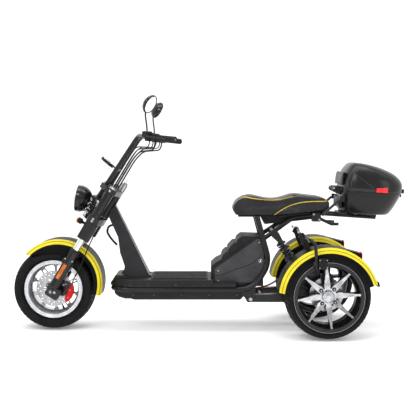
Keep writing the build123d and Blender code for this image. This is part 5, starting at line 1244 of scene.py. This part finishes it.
def box_details():
    """Shells, reflectors, creases in a pale grey that paints their highlights, rim lines, hinge pins and the
    latch's button and key.
    """
    base, lid = box_shells()
    box_reflectors(lid)
    # The lid's creases take the pale grey panel finish: a painted highlight along them.
    crease_highlights = begin("lid_crease_highlights", GREY_PANEL_AND_CREASE_HIGHLIGHT, "topbox_lid", "matte_black")
    rims = begin("base_rim_lines", MATTE_BLACK, "chassis", "matte_black")
    pins = begin("hinge_pin_heads", STEEL, "chassis", "steel")
    button = begin("latch_button", GLOSS_BLACK, "topbox_lid", "matte_black")
    key = begin("latch_key", STEEL, "topbox_lid", "steel")
    for side in SIDES:
        for bm, tree, lines in ((crease_highlights, lid, LID_LINES), (rims, base, BASE_LINES)):
            for points, radius, lift in lines:
                box_line(bm, tree, points, side, radius, lift)
        for inner in SIDES:
            at = on_box(HINGE_X, side * HINGE_HALF + inner * 0.0172, HINGE_Z)
            stack(pins, at, Y * inner, [(-0.001, 0.0058), (0.0012, 0.0058), (0.002, 0.0044)], 18)
    latch = on_box(-0.3885, 0, 0.141)
    slab(button, [latch + Y * a * 0.016 + BOX_Z * b * 0.007 for b, a in SQUARE], -BOX_X, 0.0022, 0.001)
    stack(key, latch - BOX_X * 0.002, -BOX_X, [(0.0, 0.0042), (0.001, 0.004), (0.0012, 0.0024)], 18)


def lamp_details():
    """Upright ribs on the tail lamps' lenses."""
    bm = begin("tail_lamp_ribs", RED_LENS, "chassis", "red_lens")
    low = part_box("tail_lamps")[0]
    for side in SIDES:
        for k in range(5):
            y = side * (REAR[1].y - 0.026 + k * 0.018)
            pipe(bm, [(low.x + 0.0008, y, low.z + 0.02), (low.x + 0.0004, y, low.z + 0.036)], 0.0018, 6)


build(box_details, lamp_details)


# ------------------------------------------------------------------ cushions
def apply_all(obj):
    """Keeps what the modifiers make and takes them off."""
    graph = bpy.context.evaluated_depsgraph_get()
    graph.update()
    made = bpy.data.meshes.new_from_object(obj.evaluated_get(graph))
    old = obj.data
    obj.modifiers.clear()
    obj.data = made
    bpy.data.meshes.remove(old)


def remeshed(node, name, shrink, voxel):
    """A copy of a CAD cushion drawn in by shrink, as an even mesh with softened edges."""
    mesh = NODES[node].data.copy()
    obj = bpy.data.objects.new(name, mesh)
    bpy.context.collection.objects.link(obj)
    bm = bmesh.new()
    bm.from_mesh(mesh)
    bmesh.ops.remove_doubles(bm, verts=bm.verts[:], dist=0.00005)
    bm.to_mesh(mesh)
    bm.free()
    grid = obj.modifiers.new("remesh", "REMESH")
    grid.mode = "VOXEL"
    grid.voxel_size = voxel
    soft = obj.modifiers.new("soft", "SMOOTH")
    soft.factor = 0.5
    soft.iterations = 6
    apply_all(obj)
    push_in(obj, lambda co: shrink)
    return obj


def push_in(obj, depth_at):
    """Moves each vertex in along its normal by a depth that depends on its place."""
    normals = [v.normal.copy() for v in obj.data.vertices]
    for v, normal in zip(obj.data.vertices, normals):
        v.co -= normal * depth_at(v.co)
    obj.data.update()


def inflate(obj, cap, held, pressure=4.0, frames=20):
    """Cloth under pressure: held vertices stay, and no point moves more than cap."""
    start = [v.co.copy() for v in obj.data.vertices]
    group = obj.vertex_groups.new(name="held")
    group.add([v.index for v in obj.data.vertices if held(v.co)], 1.0, "REPLACE")
    cloth = obj.modifiers.new("cloth", "CLOTH")
    cloth.settings.use_pressure = True
    cloth.settings.uniform_pressure_force = pressure
    cloth.settings.effector_weights.gravity = 0
    cloth.settings.vertex_group_mass = "held"
    cloth.settings.quality = 5
    cloth.settings.tension_stiffness = cloth.settings.compression_stiffness = 25
    cloth.settings.bending_stiffness = 2
    cloth.collision_settings.use_collision = False
    cloth.point_cache.frame_end = frames
    scene = bpy.context.scene
    for step in range(1, frames + 1):
        scene.frame_set(step)
    apply_all(obj)
    scene.frame_set(1)
    for v, before in zip(obj.data.vertices, start):
        move = v.co - before
        if move.length > cap:
            v.co = before + move * (cap / move.length)
    obj.data.update()


def press_seams(obj, lines, width, depth):
    """Draws the surface in along sewn lines, given as points in the machine's frame."""
    tree = KDTree(len(lines))
    for i, p in enumerate(lines):
        tree.insert(p, i)
    tree.balance()

    def depth_at(co):
        far = tree.find(co)[2]
        return depth * (0.5 + 0.5 * math.cos(math.pi * far / width)) if far < width else 0.0

    push_in(obj, depth_at)


def finish_cushion(obj, node, finish, body):
    """One subdivision, leather, and what the frame has to know about a cushion."""
    division = obj.modifiers.new("subdivision", "SUBSURF")
    division.levels = division.render_levels = 1
    apply_all(obj)
    obj.data.materials.clear()
    obj.data.materials.append(finish.material)
    obj.data.shade_smooth()
    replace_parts(obj, node)
    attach(obj, body)


# Side-view lines on the saddle's flank: the curved seam, and the edge where its top meets the flank.
SEAT_CURVE = [(-0.372, 0.672), (-0.402, 0.694), (-0.455, 0.724), (-0.512, 0.743), (-0.56, 0.75),
              (-0.612, 0.752), (-0.655, 0.752), (-0.693, 0.757)]
SEAT_EDGE = [(-0.131, 0.672), (-0.134, 0.705), (-0.147, 0.738), (-0.172, 0.764), (-0.205, 0.774),
             (-0.25, 0.768), (-0.305, 0.76), (-0.36, 0.757), (-0.405, 0.76), (-0.44, 0.768),
             (-0.48, 0.778)]


def side_run(tree, places, side, lift):
    """A smooth line through side-view places, laid on one flank."""
    hits = [drop_on(tree, p, side, lift) for p in smooth_run([(x, 0, z) for x, z in places], 8)]
    return [hit for hit in hits if hit is not None and side * hit.y > 0.01]


def saddle():
    """The saddle cushion with pressed seams, piping and stitches."""
    obj = remeshed("seat", "saddle_cushion", 0.006, 0.0065)
    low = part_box("seat")[0]
    inflate(obj, 0.008, lambda co: co.z < low.z + 0.016 + max(0.0, -0.4 - co.x) * 0.114)
    tree = tree_of(obj)
    seams = [p for side in SIDES for line in (SEAT_CURVE, SEAT_EDGE) for p in side_run(tree, line, side, 0.0)]
    press_seams(obj, seams, 0.011, 0.0035)
    finish_cushion(obj, "seat", SEAT_LEATHER, "chassis")
    tree = tree_of(obj)
    piping = begin("saddle_piping", PIPING, "chassis", "saddle")
    stitches = begin("saddle_stitches", THREAD, "chassis", "saddle")
    for side in SIDES:
        for line, radius in ((SEAT_CURVE, 0.0024), (SEAT_EDGE, 0.0026)):
            pipe(piping, side_run(tree, line, side, 0.0008), radius)
        run = side_run(tree, [(x, z - 0.01) for x, z in SEAT_CURVE[1:]], side, 0.0004)
        for a, b in zip(run[::2], run[1::2]):
            pipe(stitches, [a, (a + b) / 2 + Y * side * 0.0003, b], 0.0006, 5)


def pad(node, name, body, cap=0.004):
    """A pad of the top box, held where it rests on the box."""
    obj = remeshed(node, name, 0.0025, 0.004)
    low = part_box(node)[0]
    back = BOX_X.dot(Vector((low.x, 0, low.z)) - BOX_ORIGIN)
    inflate(obj, cap, lambda co: BOX_X.dot(co - BOX_ORIGIN) < back + 0.004, 3.0)
    finish_cushion(obj, node, PAD_LEATHER, body)


build(saddle)
pad("backrest_pad", "backrest_cushion", "topbox_lid")
pad("topbox_front_pad", "lower_back_cushion", "chassis")


# ------------------------------------------------------------------ studio
def floor(half=400.0):
    mesh = bpy.data.meshes.new("studio_floor")
    mesh.from_pydata([(a * half, b * half, 0.0) for a, b in SQUARE], [], [(0, 1, 2, 3)])
    mesh.materials.append(floor_finish().material)
    obj = bpy.data.objects.new("studio_floor", mesh)
    bpy.context.collection.objects.link(obj)


def soft_light(name, at, aim, size, power):
    """A rectangular lamp that faces a place."""
    data = bpy.data.lights.new(name, "AREA")
    data.shape = "RECTANGLE"
    data.size, data.size_y = size
    data.energy = power
    obj = bpy.data.objects.new(name, data)
    obj.location = at
    obj.rotation_euler = (Vector(aim) - Vector(at)).to_track_quat("-Z", "Y").to_euler()
    bpy.context.collection.objects.link(obj)


def backdrop():
    """White world that is a little brighter towards the far side."""
    world = bpy.data.worlds.new("studio")
    bpy.context.scene.world = world
    world.use_nodes = True
    nodes, links = world.node_tree.nodes, world.node_tree.links
    way = nodes.new("ShaderNodeTexCoord")
    split = nodes.new("ShaderNodeSeparateXYZ")
    links.new(way.outputs["Generated"], split.inputs["Vector"])
    shade = nodes.new("ShaderNodeMapRange")
    shade.interpolation_type = "SMOOTHSTEP"
    links.new(split.outputs["Y"], shade.inputs["Value"])
    for key, number in (("From Min", 0.05), ("From Max", 0.75), ("To Min", 1.22), ("To Max", 0.85)):
        shade.inputs[key].default_value = number
    links.new(shade.outputs["Result"], nodes["Background"].inputs["Color"])


def studio():
    floor()
    backdrop()
    bpy.context.scene.view_settings.view_transform = "Standard"
    soft_light("key", (1.6, 3.0, 3.4), (0, 0, 0.5), (2.2, 1.2), 62)
    soft_light("fill", (-3.2, 2.4, 1.6), (-0.3, 0, 0.5), (1.2, 1.8), 18)
    soft_light("top", (0, 0.3, 3.6), (0, 0, 0.3), (3.6, 1.2), 60)


studio()
